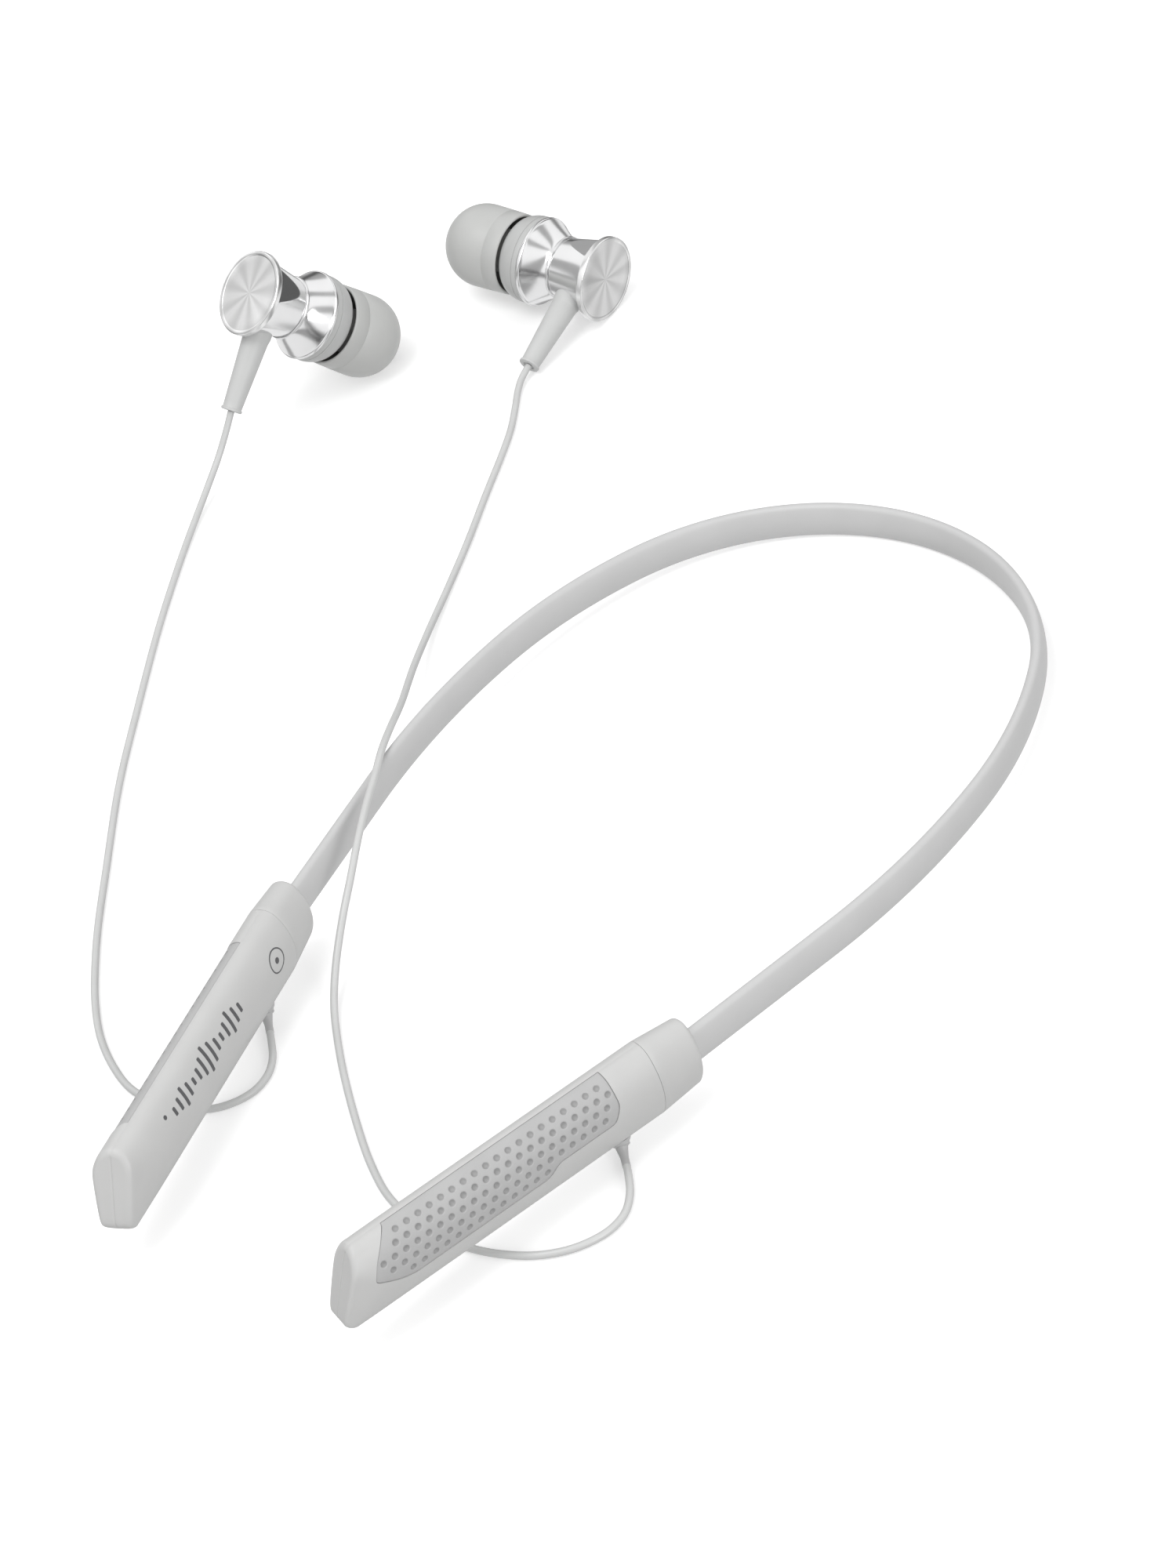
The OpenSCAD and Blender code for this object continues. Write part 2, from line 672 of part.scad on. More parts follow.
color(soft_white) band("right");  // band_right
color(soft_white) band("left");  // band_left
color("dimgray") memory_wire("right");  // memory_wire_right
color("dimgray") memory_wire("left");  // memory_wire_left
color("black") band_cable("right");  // band_cable_right
color("black") band_cable("left");  // band_cable_left
color(soft_white) collar("right");  // collar_right
color(soft_white) collar("left");  // collar_left
color(soft_white) pod_outer_shell("right");  // pod_right_outer_shell
color(soft_white) pod_inner_shell("right");  // pod_right_inner_shell
color(soft_white) pod_outer_shell("left");  // pod_left_outer_shell
color(soft_white) pod_inner_shell("left");  // pod_left_inner_shell
color(soft_grey) grip_panel("right");  // grip_panel_right
color(soft_grey) grip_panel("left");  // grip_panel_left
color("silver") pod_screws("right");  // pod_right_screws
color("silver") pod_screws("left");  // pod_left_screws
battery();
color("darkgreen") protection_board();
color("darkgreen") main_board();
color("black") bluetooth_module();
color("silver") usb_port();
color("silver") switch_housings();
color("gold") microphone();
color("white") status_light();
color(soft_grey) button(0);  // volume_up_button
color("black") plunger(0);  // volume_up_plunger
color(soft_grey) button(1);  // call_button
color("black") plunger(1);  // call_plunger
color(soft_grey) button(2);  // volume_down_button
color("black") plunger(2);  // volume_down_plunger
color(soft_grey) gland("right");  // gland_right
color(soft_grey) gland("left");  // gland_left
color(light_grey) cord(route_right);  // cord_right
color(light_grey) cord(route_left);  // cord_left
color("silver") bud_cap("right");  // bud_right_cap
color("silver") bud_barrel("right");  // bud_right_barrel
color("silver") bud_front_cone("right");  // bud_right_front_cone
color(light_grey) bud_nozzle("right");  // bud_right_nozzle
color("dimgray") bud_driver("right");  // bud_right_driver
color("silver") bud_magnet("right");  // bud_right_magnet
color("gray") bud_mesh("right");  // bud_right_mesh
color(light_grey) bud_boot("right");  // bud_right_boot
color(light_grey) ear_tip("right");  // ear_tip_right
color("silver") bud_cap("left");  // bud_left_cap
color("silver") bud_barrel("left");  // bud_left_barrel
color("silver") bud_front_cone("left");  // bud_left_front_cone
color(light_grey) bud_nozzle("left");  // bud_left_nozzle
color("dimgray") bud_driver("left");  // bud_left_driver
color("silver") bud_magnet("left");  // bud_left_magnet
color("gray") bud_mesh("left");  // bud_left_mesh
color(light_grey) bud_boot("left");  // bud_left_boot
color(light_grey) ear_tip("left");  // ear_tip_left
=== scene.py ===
import json
import math

import bmesh
import bpy
import numpy as np
from mathutils import Matrix, Quaternion, Vector
from mathutils.geometry import delaunay_2d_cdt


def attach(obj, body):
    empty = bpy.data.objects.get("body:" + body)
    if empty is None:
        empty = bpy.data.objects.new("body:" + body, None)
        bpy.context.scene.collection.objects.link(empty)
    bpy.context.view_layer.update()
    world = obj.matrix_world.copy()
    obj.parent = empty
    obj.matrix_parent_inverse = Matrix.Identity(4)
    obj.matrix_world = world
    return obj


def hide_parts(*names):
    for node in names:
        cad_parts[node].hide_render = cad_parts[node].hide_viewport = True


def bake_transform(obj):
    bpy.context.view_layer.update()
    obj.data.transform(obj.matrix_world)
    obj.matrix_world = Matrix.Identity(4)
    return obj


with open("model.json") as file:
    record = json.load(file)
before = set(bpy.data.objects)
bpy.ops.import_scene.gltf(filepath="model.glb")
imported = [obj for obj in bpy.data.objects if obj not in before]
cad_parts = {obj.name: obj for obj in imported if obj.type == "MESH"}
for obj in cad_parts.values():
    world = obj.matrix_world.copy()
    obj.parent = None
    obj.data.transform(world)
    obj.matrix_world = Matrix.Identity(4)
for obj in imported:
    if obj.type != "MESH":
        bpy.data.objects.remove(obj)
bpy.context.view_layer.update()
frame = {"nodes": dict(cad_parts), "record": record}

# Neckband earphones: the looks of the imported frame. Shapes are worked out in millimetres, in each
# sub-part's own frame, and placed in the row frame in metres.
MM = 0.001
# points closer than this become one, in mm
WELD = 1e-3
SIDES = ("right", "left")
ARM_BODY = {"right": "neckband", "left": "left_arm"}

# ---- The neckband's plan, as in the CAD source ----
REST_TILT = 3
REST_LIFT = 5.85
BAND_ARCS = ((47, 65), (84, 21), (145, 15.5))
BAND_STRAIGHT = 30
BAND_HEIGHT, BAND_THICK = 6.6, 2.7
SOCKET = 5
STRAP_STEP = 1.5
POD_KINK = 3.5

# ---- A pod's section and length ----
POD_T, POD_H, EDGE_R = 8.8, 14.4, 3.2
EDGE_C = POD_H / 2 - EDGE_R
FACE_R = ((POD_T / 2) ** 2 + EDGE_C**2 - EDGE_R**2) / (2 * (POD_T / 2 - EDGE_R))
FACE_C = FACE_R - POD_T / 2
FACE_TURN = math.atan2(EDGE_C, FACE_C)
FACE_S = FACE_R * FACE_TURN
HALF_S = FACE_S + EDGE_R * (math.pi / 2 - FACE_TURN)
COLLAR = (1.0, 9.5)
COLLAR_NARROW = 0.88
COLLAR_MOUTH = (1.5, 3.45)
TIP_X, TIP_Z = 72.2, -4.6
TIP_RISE, TIP_FALL, TIP_SHEAR = 0.46, 0.96, 0.12
TIP_BEVEL = 0.9
TIP_ARC = TIP_BEVEL * math.pi / 2
TIP_FLAT = 4
# where each broad face starts to taper towards the tip, and its slope
TAPER_INNER, TAPER_OUTER = (60, 0.16), (64.8, 0.3)
TAPER_EASE = 2
WALL = 1.2
SEAM_WIDE, SEAM_DEEP = 0.2, 0.1

# ---- Grip panel ----
PANEL_X = (17.5, 66)
PANEL_STEP = 31.4
PANEL_LOW, PANEL_LOW_REAR = -2, -0.3
PANEL_SET_BACK = 0.12
DIMPLE_R, DIMPLE_DEPTH = 0.62, 0.42
DIMPLE_PITCH, DIMPLE_ROWS, DIMPLE_ROW, DIMPLE_TOP_S = 2.19, 5, 1.86, 6.9

# ---- Keys on the left pod's inner face ----
KEYS = (("volume_up", 28, 5.6), ("call", 36, 6.4), ("volume_down", 44, 5.6))
KEY_W, KEY_PROUD, KEY_GAP = 3.6, 0.5, 0.15
LIGHT_AT, MIC_AT = (24.8, 3.3), (50.5, 3.2)
LIGHT_HOLE_R, MIC_HOLE_R = 0.62, 0.45

# ---- Charging port in the left pod's lower edge: its place, and half its opening ----
USB_X = 51
USB_HALF, USB_UP = 3.8, 1.3

# ---- Marks on the right pod's inner face, as x, s places ----
RING_AT, DOT_AT, BARS_AT, BAR_PITCH = (15.3, 1.7), (55.4, 4.3), (28.4, 3.3), 1.75
BAR_HALVES = (0.9, 1.5, 2.2, 1.4, 0.8, 1.2, 2.0, 2.6, 1.8, 1.1, 0.7, 1.3, 1.9, 1.2, 0.8)

# ---- Glands and cords ----
GLAND_X, GLAND_BEND, GLAND_HEADING = 17, 2, 225
CORD_D = 1.3
ROUTE = {
    "right": [(-97.9, 34.3, 1.06), (-99.6, 32.6, 1), (-102.2, 30.3, 0.8), (-105.5, 28.7, 0.7),
              (-109.3, 28.5, 0.7), (-113, 30.2, 0.7), (-116, 33.6, 0.7), (-118, 40, 0.7),
              (-117.8, 48, 0.7), (-115, 55, 0.7), (-110.3, 62.2, 0.7), (-104.3, 68.6, 0.7),
              (-97.5, 74.5, 0.7), (-89.4, 80.8, 0.7), (-78, 88.8, 0.7), (-60, 101.2, 0.7),
              (-42, 112, 0.7), (-24, 122.4, 0.7), (-10, 129.8, 0.7), (-1, 134.2, 0.8),
              (6, 137.1, 1.4), (11.5, 138.6, 3), (16, 139, 5.6), (19.6, 138.85, 8.9),
              (22.43, 138.68, 11.9)],
    "left": [(-97.9, -40.35, 1.06), (-99.6, -42, 1), (-102.4, -44.2, 0.8), (-106.3, -45.8, 0.7),
             (-111, -45.2, 0.7), (-116, -41.8, 0.7), (-119.8, -36, 0.7), (-122, -27.5, 0.7),
             (-121.7, -17.5, 0.7), (-119, -8.3, 0.7), (-114.4, -0.6, 0.7), (-107.8, 7.8, 0.7),
             (-100, 16.7, 0.7), (-93, 23.8, 0.9), (-88, 28, 1.8), (-82.5, 31.2, 4),
             (-76, 33.8, 7.4), (-69.5, 36, 10.6), (-63, 38.8, 12.7), (-56.5, 42, 13.4),
             (-50, 45.3, 13.3), (-43.5, 49, 12.7), (-37, 52.9, 10.8), (-28, 58.6, 7.3),
             (-17, 65.6, 4), (-6, 71.4, 1.7), (5, 76, 0.8), (17, 80.6, 0.7),
             (30, 86, 0.7), (40, 90, 0.7), (47, 93.1, 0.7), (52.8, 96.4, 0.7), (57, 98.9, 0.8),
             (60, 100.1, 1.2), (62.82, 100.32, 2)],
}

# ---- Camera, solved from the object's shape in the photograph ----
CAMERA_AT, CAMERA_AIM = (-459.85, -465.76, 545.55), (-26.96, 20.18, 0)
CAMERA_LENS, CAMERA_SENSOR, CAMERA_ROLL = 114.57, 36, -18.02

# ---- Studio ----
# how bright the room is, from straight down (0) by the horizon (0.5) to straight up (1)
WORLD_STOPS = ((0.0, 0.74), (0.4, 0.7), (0.47, 0.2), (0.54, 0.2), (0.6, 0.8), (1.0, 0.86))
# where grey screens stand round the object, in turns; polished metal shows them as bands
SCREENS = (0.08, 0.24, 0.42, 0.61, 0.82)
SCREEN_EDGES = ((-0.036, 1), (-0.022, 0.4), (0.022, 0.4), (0.036, 1))
ROOM_STRENGTH = 1.22
FLOOR_GLOW = 0.24
LIGHT_AIM, LIGHT_SIZE = (-0.03, 0.03, 0), 0.5

# ---- Finishes: how many colour patches a metre ----
PATCHES = 180

# ---- Cap's painted highlights: where its painted bright and dark bands lie, in turns round it ----
PAINTED_FAN_TURNS = (0.0, 0.05, 0.09, 0.15, 0.2, 0.27, 0.31, 0.36, 0.42, 0.48, 0.53, 0.6, 0.64, 0.7, 0.76,
             0.82, 0.87, 0.93, 1.0)
PAINTED_SHEEN_DARK, PAINTED_SHEEN_BRIGHT = 0.86, 1.08

# ---- Earbuds: cap centre, heading, nose-down angle and spin ----
BUD_AT = {"right": (36.18, 139.01, 29.65), "left": (83.77, 95.21, 8.21)}
BUD_TURN = {"right": (341.3, 49.7, -12.5), "left": (91.3, -3.8, 72.5)}
BUD_SCALE = 1.12
BOOT_AT = 4.6
TIP_ARC_TOP = math.sin(math.radians(75))
FACET_TURN, FACET_Z, FACET_REACH = {"right": -120, "left": 120}, (1.75, 7.3), 5.5
SLOT_ACROSS, SLOT_Z, SLOT_DEPTH = (-3.6, -3.05), (2.2, 6.6), 0.45


# ================ Camera and stage ================
def camera():
    """The photograph's viewing angle."""
    eye, aim = Vector(CAMERA_AT) * MM, Vector(CAMERA_AIM) * MM
    data = bpy.data.cameras.new("camera")
    data.sensor_width = CAMERA_SENSOR
    data.lens = CAMERA_LENS
    data.clip_start, data.clip_end = 0.05, 20
    cam = bpy.data.objects.new("camera", data)
    cam.location = eye
    cam.rotation_mode = "QUATERNION"
    roll = Quaternion((0, 0, 1), math.radians(CAMERA_ROLL))
    cam.rotation_quaternion = (aim - eye).to_track_quat("-Z", "Y") @ roll
    bpy.context.scene.collection.objects.link(cam)
    bpy.context.scene.camera = cam


def area_light(name, at, watts):
    """A soft square light aimed at the object."""
    data = bpy.data.lights.new(name, "AREA")
    data.shape = "RECTANGLE"
    data.size = data.size_y = LIGHT_SIZE
    data.energy = watts
    light = bpy.data.objects.new(name, data)
    light.location = at
    light.rotation_mode = "QUATERNION"
    light.rotation_quaternion = (Vector(LIGHT_AIM) - Vector(at)).to_track_quat("-Z", "Y")
    bpy.context.scene.collection.objects.link(light)


def ramp_of(nodes, stops):
    """A colour ramp through (position, colour) stops."""
    node = nodes.new("ShaderNodeValToRGB")
    for i, (position, colour) in enumerate(stops):
        elements = node.color_ramp.elements
        stop = elements[i] if i < 2 else elements.new(position)
        stop.position = position
        stop.color = (*colour, 1)
    return node


def stage():
    """A pale floor in a soft bright room with a darker band near the horizon and grey screens around.
    The floor's faint glow keeps the shadows light."""
    bpy.ops.mesh.primitive_plane_add(size=6, location=(0, 0, -0.00005))
    floor = bpy.context.object
    floor.name = "floor"
    material = bpy.data.materials.new("floor_white")
    material.use_nodes = True
    shader = material.node_tree.nodes["Principled BSDF"]
    shader.inputs["Base Color"].default_value = (0.93, 0.93, 0.93, 1)
    shader.inputs["Roughness"].default_value = 0.9
    shader.inputs["Specular IOR Level"].default_value = 0.1
    shader.inputs["Emission Color"].default_value = (1, 1, 1, 1)
    shader.inputs["Emission Strength"].default_value = FLOOR_GLOW
    floor.data.materials.append(material)
    floor.visible_diffuse = False
    floor.visible_glossy = False
    world = bpy.data.worlds.new("studio")
    bpy.context.scene.world = world
    world.use_nodes = True
    nodes, links = world.node_tree.nodes, world.node_tree.links
    coordinates = nodes.new("ShaderNodeTexCoord")
    split = nodes.new("ShaderNodeSeparateXYZ")
    height = nodes.new("ShaderNodeMapRange")
    height.inputs["From Min"].default_value = -1
    sky = ramp_of(nodes, [(place, (tone,) * 3) for place, tone in WORLD_STOPS])
    links.new(coordinates.outputs["Generated"], split.inputs[0])
    links.new(split.outputs["Z"], height.inputs["Value"])
    links.new(height.outputs["Result"], sky.inputs["Fac"])
    around = nodes.new("ShaderNodeTexGradient")
    around.gradient_type = "RADIAL"
    links.new(coordinates.outputs["Generated"], around.inputs["Vector"])
    edges = [(middle + reach, (tone,) * 3) for middle in SCREENS for reach, tone in SCREEN_EDGES]
    screens = ramp_of(nodes, [(0, (1, 1, 1)), (1, (1, 1, 1)), *edges])
    links.new(around.outputs["Fac"], screens.inputs["Fac"])
    both = nodes.new("ShaderNodeVectorMath")
    both.operation = "MULTIPLY"
    links.new(sky.outputs["Color"], both.inputs[0])
    links.new(screens.outputs["Color"], both.inputs[1])
    links.new(both.outputs["Vector"], nodes["Background"].inputs["Color"])
    nodes["Background"].inputs["Strength"].default_value = ROOM_STRENGTH
    area_light("key", (-0.35, 0.1, 1.0), 3)
    area_light("fill", (-0.25, -0.95, 0.4), 3.5)
    bpy.context.scene.view_settings.view_transform = "Standard"


# ================ Curves ================
def spline(points, step):
    """Points about a step apart on the Catmull-Rom curve through points, as the CAD source draws it."""
    p = [Vector(q) for q in points]
    curve = []
    for k in range(len(p) - 1):
        a, b, c, d = p[max(k - 1, 0)], p[k], p[k + 1], p[min(k + 2, len(p) - 1)]
        parts = max(2, round((c - b).length / step))
        for i in range(parts):
            u = i / parts
            curve.append(0.5 * (2 * b + (c - a) * u + (2 * a - 5 * b + 4 * c - d) * u**2
                                + (3 * b - a - 3 * c + d) * u**3))
    return curve + [p[-1]]


def circle(radius, sides):
    return [(radius * math.cos(math.tau * k / sides), radius * math.sin(math.tau * k / sides))
            for k in range(sides)]


def sweep(path, sections, side):
    """Sweeps sections, one list of (across, up) points a ring, along path. side is across at the start."""
    verts, faces = [], []
    n = len(sections[0])
    last = len(path) - 1
    for i, centre in enumerate(path):
        along = (path[min(i + 1, last)] - path[max(i - 1, 0)]).normalized()
        side = (side - along * side.dot(along)).normalized()
        up = side.cross(along)
        verts += [centre + side * a + up * b for a, b in sections[i]]
    for i in range(last):
        for k in range(n):
            a, b = i * n + k, i * n + (k + 1) % n
            faces.append((a, b, b + n, a + n))
    faces += [tuple(range(n))[::-1], tuple(range(last * n, last * n + n))]
    return verts, faces


def lathe(profile, segments):
    """Turns (radius, z) points about z. A radius of 0 closes the surface on the axis."""
    verts, faces, rings = [], [], []
    for r, z in profile:
        count = 1 if r == 0 else segments
        rings.append((len(verts), count))
        verts += [Vector((r * math.cos(math.tau * k / segments), r * math.sin(math.tau * k / segments), z))
                  for k in range(count)]
    for (a, na), (b, nb) in zip(rings, rings[1:]):
        for k in range(segments):
            j = (k + 1) % segments
            if na > 1 and nb > 1:
                faces.append((a + k, a + j, b + j, b + k))
            elif na > 1:
                faces.append((a + k, a + j, b))
            elif nb > 1:
                faces.append((a, b + j, b + k))
    return verts, faces


def join(*parts):
    """Several (verts, faces) as one."""
    verts, faces = [], []
    for v, f in parts:
        faces += [tuple(i + len(verts) for i in face) for face in f]
        verts += list(v)
    return verts, faces


def arc(centre, radius, first, last, parts):
    """Points on a circle of the x, z or x, s plane, with angles in degrees."""
    turns = [math.radians(first + (last - first) * i / parts) for i in range(parts + 1)]
    return [(centre[0] + radius * math.cos(t), centre[1] + radius * math.sin(t)) for t in turns]


# ================ Making pieces ================
def build(name, shape, place, slot, body, replaces=(), mirror=False, sharp=35, size=1.0):
    """A piece from (verts, faces) in mm in its own frame. mirror flips it left for right, and edges that
    turn by more than sharp degrees stay sharp."""
    verts, faces = shape
    mesh = bpy.data.meshes.new(name)
    mesh.from_pydata([Vector((v[0], -v[1] if mirror else v[1], v[2])) * MM * size for v in verts], [], faces)
    shaped = bmesh.new()
    shaped.from_mesh(mesh)
    bmesh.ops.remove_doubles(shaped, verts=shaped.verts, dist=WELD * MM)
    bmesh.ops.dissolve_degenerate(shaped, edges=shaped.edges, dist=1e-4 * MM)
    bmesh.ops.recalc_face_normals(shaped, faces=shaped.faces)
    for face in shaped.faces:
        face.smooth = True
    for edge in shaped.edges:
        edge.smooth = len(edge.link_faces) == 2 and edge.calc_face_angle(0) < math.radians(sharp)
    shaped.to_mesh(mesh)
    shaped.free()
    piece = bpy.data.objects.new(name, mesh)
    bpy.context.scene.collection.objects.link(piece)
    metres = place.copy()
    metres.translation = place.translation * MM
    piece.matrix_world = metres
    piece.data.materials.append(LOOK[slot])
    if body:
        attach(piece, body)
    if replaces:
        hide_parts(*replaces)
    return piece


def turned(degrees, axis):
    return Matrix.Rotation(math.radians(degrees), 4, axis)


def leaned():
    """The neckband's frame: its front ends are raised a little."""
    return Matrix.Translation((0, 0, REST_LIFT)) @ turned(REST_TILT, "Y")


def band_half():
    """The right half's centreline, from behind the neck into the collar's socket."""
    at, heading, points = Vector((BAND_ARCS[0][0], 0, 0)), 0.0, []
    for radius, turn in BAND_ARCS:
        centre = at - radius * Vector((math.cos(heading), math.sin(heading), 0))
        parts = max(2, round(radius * math.radians(turn) / STRAP_STEP))
        for i in range(parts):
            a = heading + math.radians(turn) * i / parts
            points.append(centre + radius * Vector((math.cos(a), math.sin(a), 0)))
        heading += math.radians(turn)
        at = centre + radius * Vector((math.cos(heading), math.sin(heading), 0))
    ahead = Vector((-math.sin(heading), math.cos(heading), 0))
    run = BAND_STRAIGHT + SOCKET
    parts = round(run / STRAP_STEP)
    points += [at + ahead * run * i / parts for i in range(parts + 1)]
    return points, at + ahead * BAND_STRAIGHT, math.degrees(heading)


def pod_place(side):
    """A pod's frame: x towards its tip, y inwards. On the left, y is outwards and pieces are mirrored."""
    _, end, heading = band_half()
    s = 1 if side == "right" else -1
    return (leaned() @ Matrix.Translation((end.x, s * end.y, 0))
            @ turned(s * (90 + heading + POD_KINK), "Z"))


def bud_place(side):
    """An earbud's frame: z from its cap towards its ear tip."""
    heading, down, spin = BUD_TURN[side]
    return (Matrix.Translation(BUD_AT[side]) @ turned(heading, "Z") @ turned(90 + down, "Y")
            @ turned(spin, "Z"))


# ================ Materials ================
def texture_at(nodes, links, kind, scale, **settings):
    """A texture node on object coordinates, with scale in features a metre."""
    place = nodes.new("ShaderNodeTexCoord")
    texture = nodes.new(kind)
    texture.inputs["Scale"].default_value = scale
    for key, value in settings.items():
        texture.inputs[key].default_value = value
    links.new(place.outputs["Object"], texture.inputs["Vector"])
    return texture


def ranged(nodes, links, source, low, high):
    """Maps a texture's middle range onto low to high."""
    spread = nodes.new("ShaderNodeMapRange")
    spread.inputs["From Min"].default_value = 0.3
    spread.inputs["From Max"].default_value = 0.7
    spread.inputs["To Min"].default_value = low
    spread.inputs["To Max"].default_value = high
    links.new(source, spread.inputs["Value"])
    return spread.outputs["Result"]


def surface(name, colour, roughness, grain=5000, relief=0.004, vary=0.03, metallic=0.0, coat=0.0,
            sheen=0.0, anisotropic=0.0, soft=0.0):
    """A moulded, rubber or metal surface: broad patches vary its colour, and a fine grain its roughness
    and height. grain is in features a metre, and relief is the grain's height in mm."""
    material = bpy.data.materials.new(name)
    material.use_nodes = True
    nodes, links = material.node_tree.nodes, material.node_tree.links
    shader = nodes["Principled BSDF"]
    patches = texture_at(nodes, links, "ShaderNodeTexNoise", PATCHES, Detail=4.0)
    fine = texture_at(nodes, links, "ShaderNodeTexNoise", grain, Detail=3.0)
    ramp = ramp_of(nodes, [(place, [min(1, c * gain) for c in colour])
                           for place, gain in ((0.3, 1 - vary), (0.7, 1 + vary))])
    links.new(patches.outputs["Fac"], ramp.inputs["Fac"])
    links.new(ramp.outputs["Color"], shader.inputs["Base Color"])
    rough = ranged(nodes, links, fine.outputs["Fac"], roughness * 0.92, min(1, roughness * 1.08))
    links.new(rough, shader.inputs["Roughness"])
    bump = nodes.new("ShaderNodeBump")
    bump.inputs["Strength"].default_value = 0.6
    bump.inputs["Distance"].default_value = relief * MM
    links.new(fine.outputs["Fac"], bump.inputs["Height"])
    links.new(bump.outputs["Normal"], shader.inputs["Normal"])
    shader.inputs["Metallic"].default_value = metallic
    shader.inputs["Coat Weight"].default_value = coat
    shader.inputs["Coat Roughness"].default_value = 0.25
    shader.inputs["Sheen Weight"].default_value = sheen
    shader.inputs["Anisotropic"].default_value = anisotropic
    if soft:
        shader.inputs["Subsurface Weight"].default_value = soft
        shader.inputs["Subsurface Radius"].default_value = (1.0, 0.95, 0.9)
        shader.inputs["Subsurface Scale"].default_value = 0.8 * MM
    return material


def spun_metal_painted_sheen(name, colour, roughness):
    """A face turned on a lathe: fine rings, and painted highlights, bright and dark bands in its base colour
    that radiate from the centre.
    """
    material = surface(name, colour, roughness, grain=900, relief=0.0005, metallic=1.0, anisotropic=0.7)
    nodes, links = material.node_tree.nodes, material.node_tree.links
    shader = nodes["Principled BSDF"]
    painted_sheen_angle = nodes.new("ShaderNodeTexGradient")
    painted_sheen_angle.gradient_type = "RADIAL"
    place = nodes.new("ShaderNodeTexCoord")
    links.new(place.outputs["Object"], painted_sheen_angle.inputs["Vector"])
    # painted highlights: the base colour turns brighter and darker round the centre, standing in for
    # reflections
    painted_sheens = ramp_of(nodes, [(turn, [c * (PAINTED_SHEEN_BRIGHT if i % 2 else PAINTED_SHEEN_DARK) for c in colour])
                             for i, turn in enumerate(PAINTED_FAN_TURNS)])
    painted_sheens.color_ramp.interpolation = "EASE"
    links.new(painted_sheen_angle.outputs["Fac"], painted_sheens.inputs["Fac"])
    links.new(painted_sheens.outputs["Color"], shader.inputs["Base Color"])
    tangent = nodes.new("ShaderNodeTangent")
    tangent.direction_type = "RADIAL"
    tangent.axis = "Z"
    links.new(tangent.outputs["Tangent"], shader.inputs["Tangent"])
    return material


def woven_mesh(name, colour):
    """Fine wire mesh over the nozzle."""
    material = surface(name, colour, 0.4, metallic=1.0)
    nodes, links = material.node_tree.nodes, material.node_tree.links
    weave = texture_at(nodes, links, "ShaderNodeTexVoronoi", 4500)
    bump = nodes.new("ShaderNodeBump")
    bump.inputs["Strength"].default_value = 1.0
    bump.inputs["Distance"].default_value = 0.05 * MM
    links.new(weave.outputs["Distance"], bump.inputs["Height"])
    links.new(bump.outputs["Normal"], nodes["Principled BSDF"].inputs["Normal"])
    return material


def looks():
    """One material for each of the record's slots."""
    return {
        "band_elastomer": surface("elastomer", (0.57, 0.57, 0.57), 0.42, vary=0.015, relief=0.003),
        "pod_plastic": surface("soft_touch", (0.56, 0.56, 0.555), 0.46, vary=0.015, grain=6000, relief=0.003),
        "panel_rubber": surface("grip", (0.45, 0.45, 0.45), 0.5, grain=7000, relief=0.005),
        "button_plastic": surface("key", (0.54, 0.54, 0.54), 0.45, vary=0.02),
        "cord_jacket": surface("jacket", (0.6, 0.605, 0.6), 0.32, vary=0.02, grain=2500, relief=0.004),
        "gland_rubber": surface("gland", (0.5, 0.5, 0.5), 0.45, vary=0.02),
        "boot_rubber": surface("boot", (0.57, 0.575, 0.57), 0.45, vary=0.02),
        "tip_silicone": surface("silicone", (0.52, 0.525, 0.515), 0.42, vary=0.015, sheen=0.1, soft=0.15),
        "bud_metal": surface("polished", (0.88, 0.88, 0.885), 0.16, grain=1500, relief=0.0005,
                             vary=0.02, metallic=1.0, anisotropic=0.4),
        "cap_metal": spun_metal_painted_sheen("spun", (0.95, 0.95, 0.95), 0.24),
        "bud_plastic": surface("front_plastic", (0.5, 0.505, 0.5), 0.35, vary=0.02),
        "spring_steel": surface("wire", (0.5, 0.5, 0.51), 0.3, metallic=1.0),
        "inner_cable": surface("inner_cable", (0.02, 0.02, 0.02), 0.5),
        "screw_steel": surface("screw", (0.55, 0.55, 0.57), 0.3, metallic=1.0),
        "cell_foil": surface("foil", (0.75, 0.75, 0.77), 0.3, metallic=1.0, grain=700, relief=0.02),
        "circuit_board": surface("mask", (0.01, 0.08, 0.035), 0.35, coat=0.3),
        "chip_shield": surface("shield", (0.6, 0.6, 0.62), 0.35, metallic=1.0),
        "usb_metal": surface("port", (0.6, 0.6, 0.62), 0.25, metallic=1.0),
        "switch_metal": surface("switch", (0.62, 0.62, 0.62), 0.35, metallic=1.0),
        "plunger_plastic": surface("dark", (0.045, 0.045, 0.048), 0.5),
        "light_pipe": surface("pipe", (0.85, 0.87, 0.9), 0.2, coat=0.5),
        "driver_frame": surface("driver", (0.03, 0.03, 0.032), 0.45),
        "magnet_steel": surface("magnet", (0.5, 0.5, 0.52), 0.25, metallic=1.0),
        "mesh_steel": woven_mesh("mesh", (0.4, 0.4, 0.41)),
    }


def dress_frame():
    """Gives every CAD node its slot's material."""
    for part in frame["record"]["subparts"]:
        node = frame["nodes"][part["node"]]
        node.data.materials.clear()
        node.data.materials.append(LOOK[part["material_slot"]])


# ================ Cords and glands ================
def cords():
    """Both cords along their routes. The left one runs from its pod to its earbud and is attached to no body.
    """
    for side in SIDES:
        route = spline(ROUTE[side], 1.0)
        shape = sweep(route, [circle(CORD_D / 2, 16)] * len(route), Vector((0, 0, 1)))
        body = None if side == "left" else "neckband"
        piece = build(f"{side}_cord", shape, Matrix(), "cord_jacket", body, (f"cord_{side}",))
        if side == "left":
            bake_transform(piece)


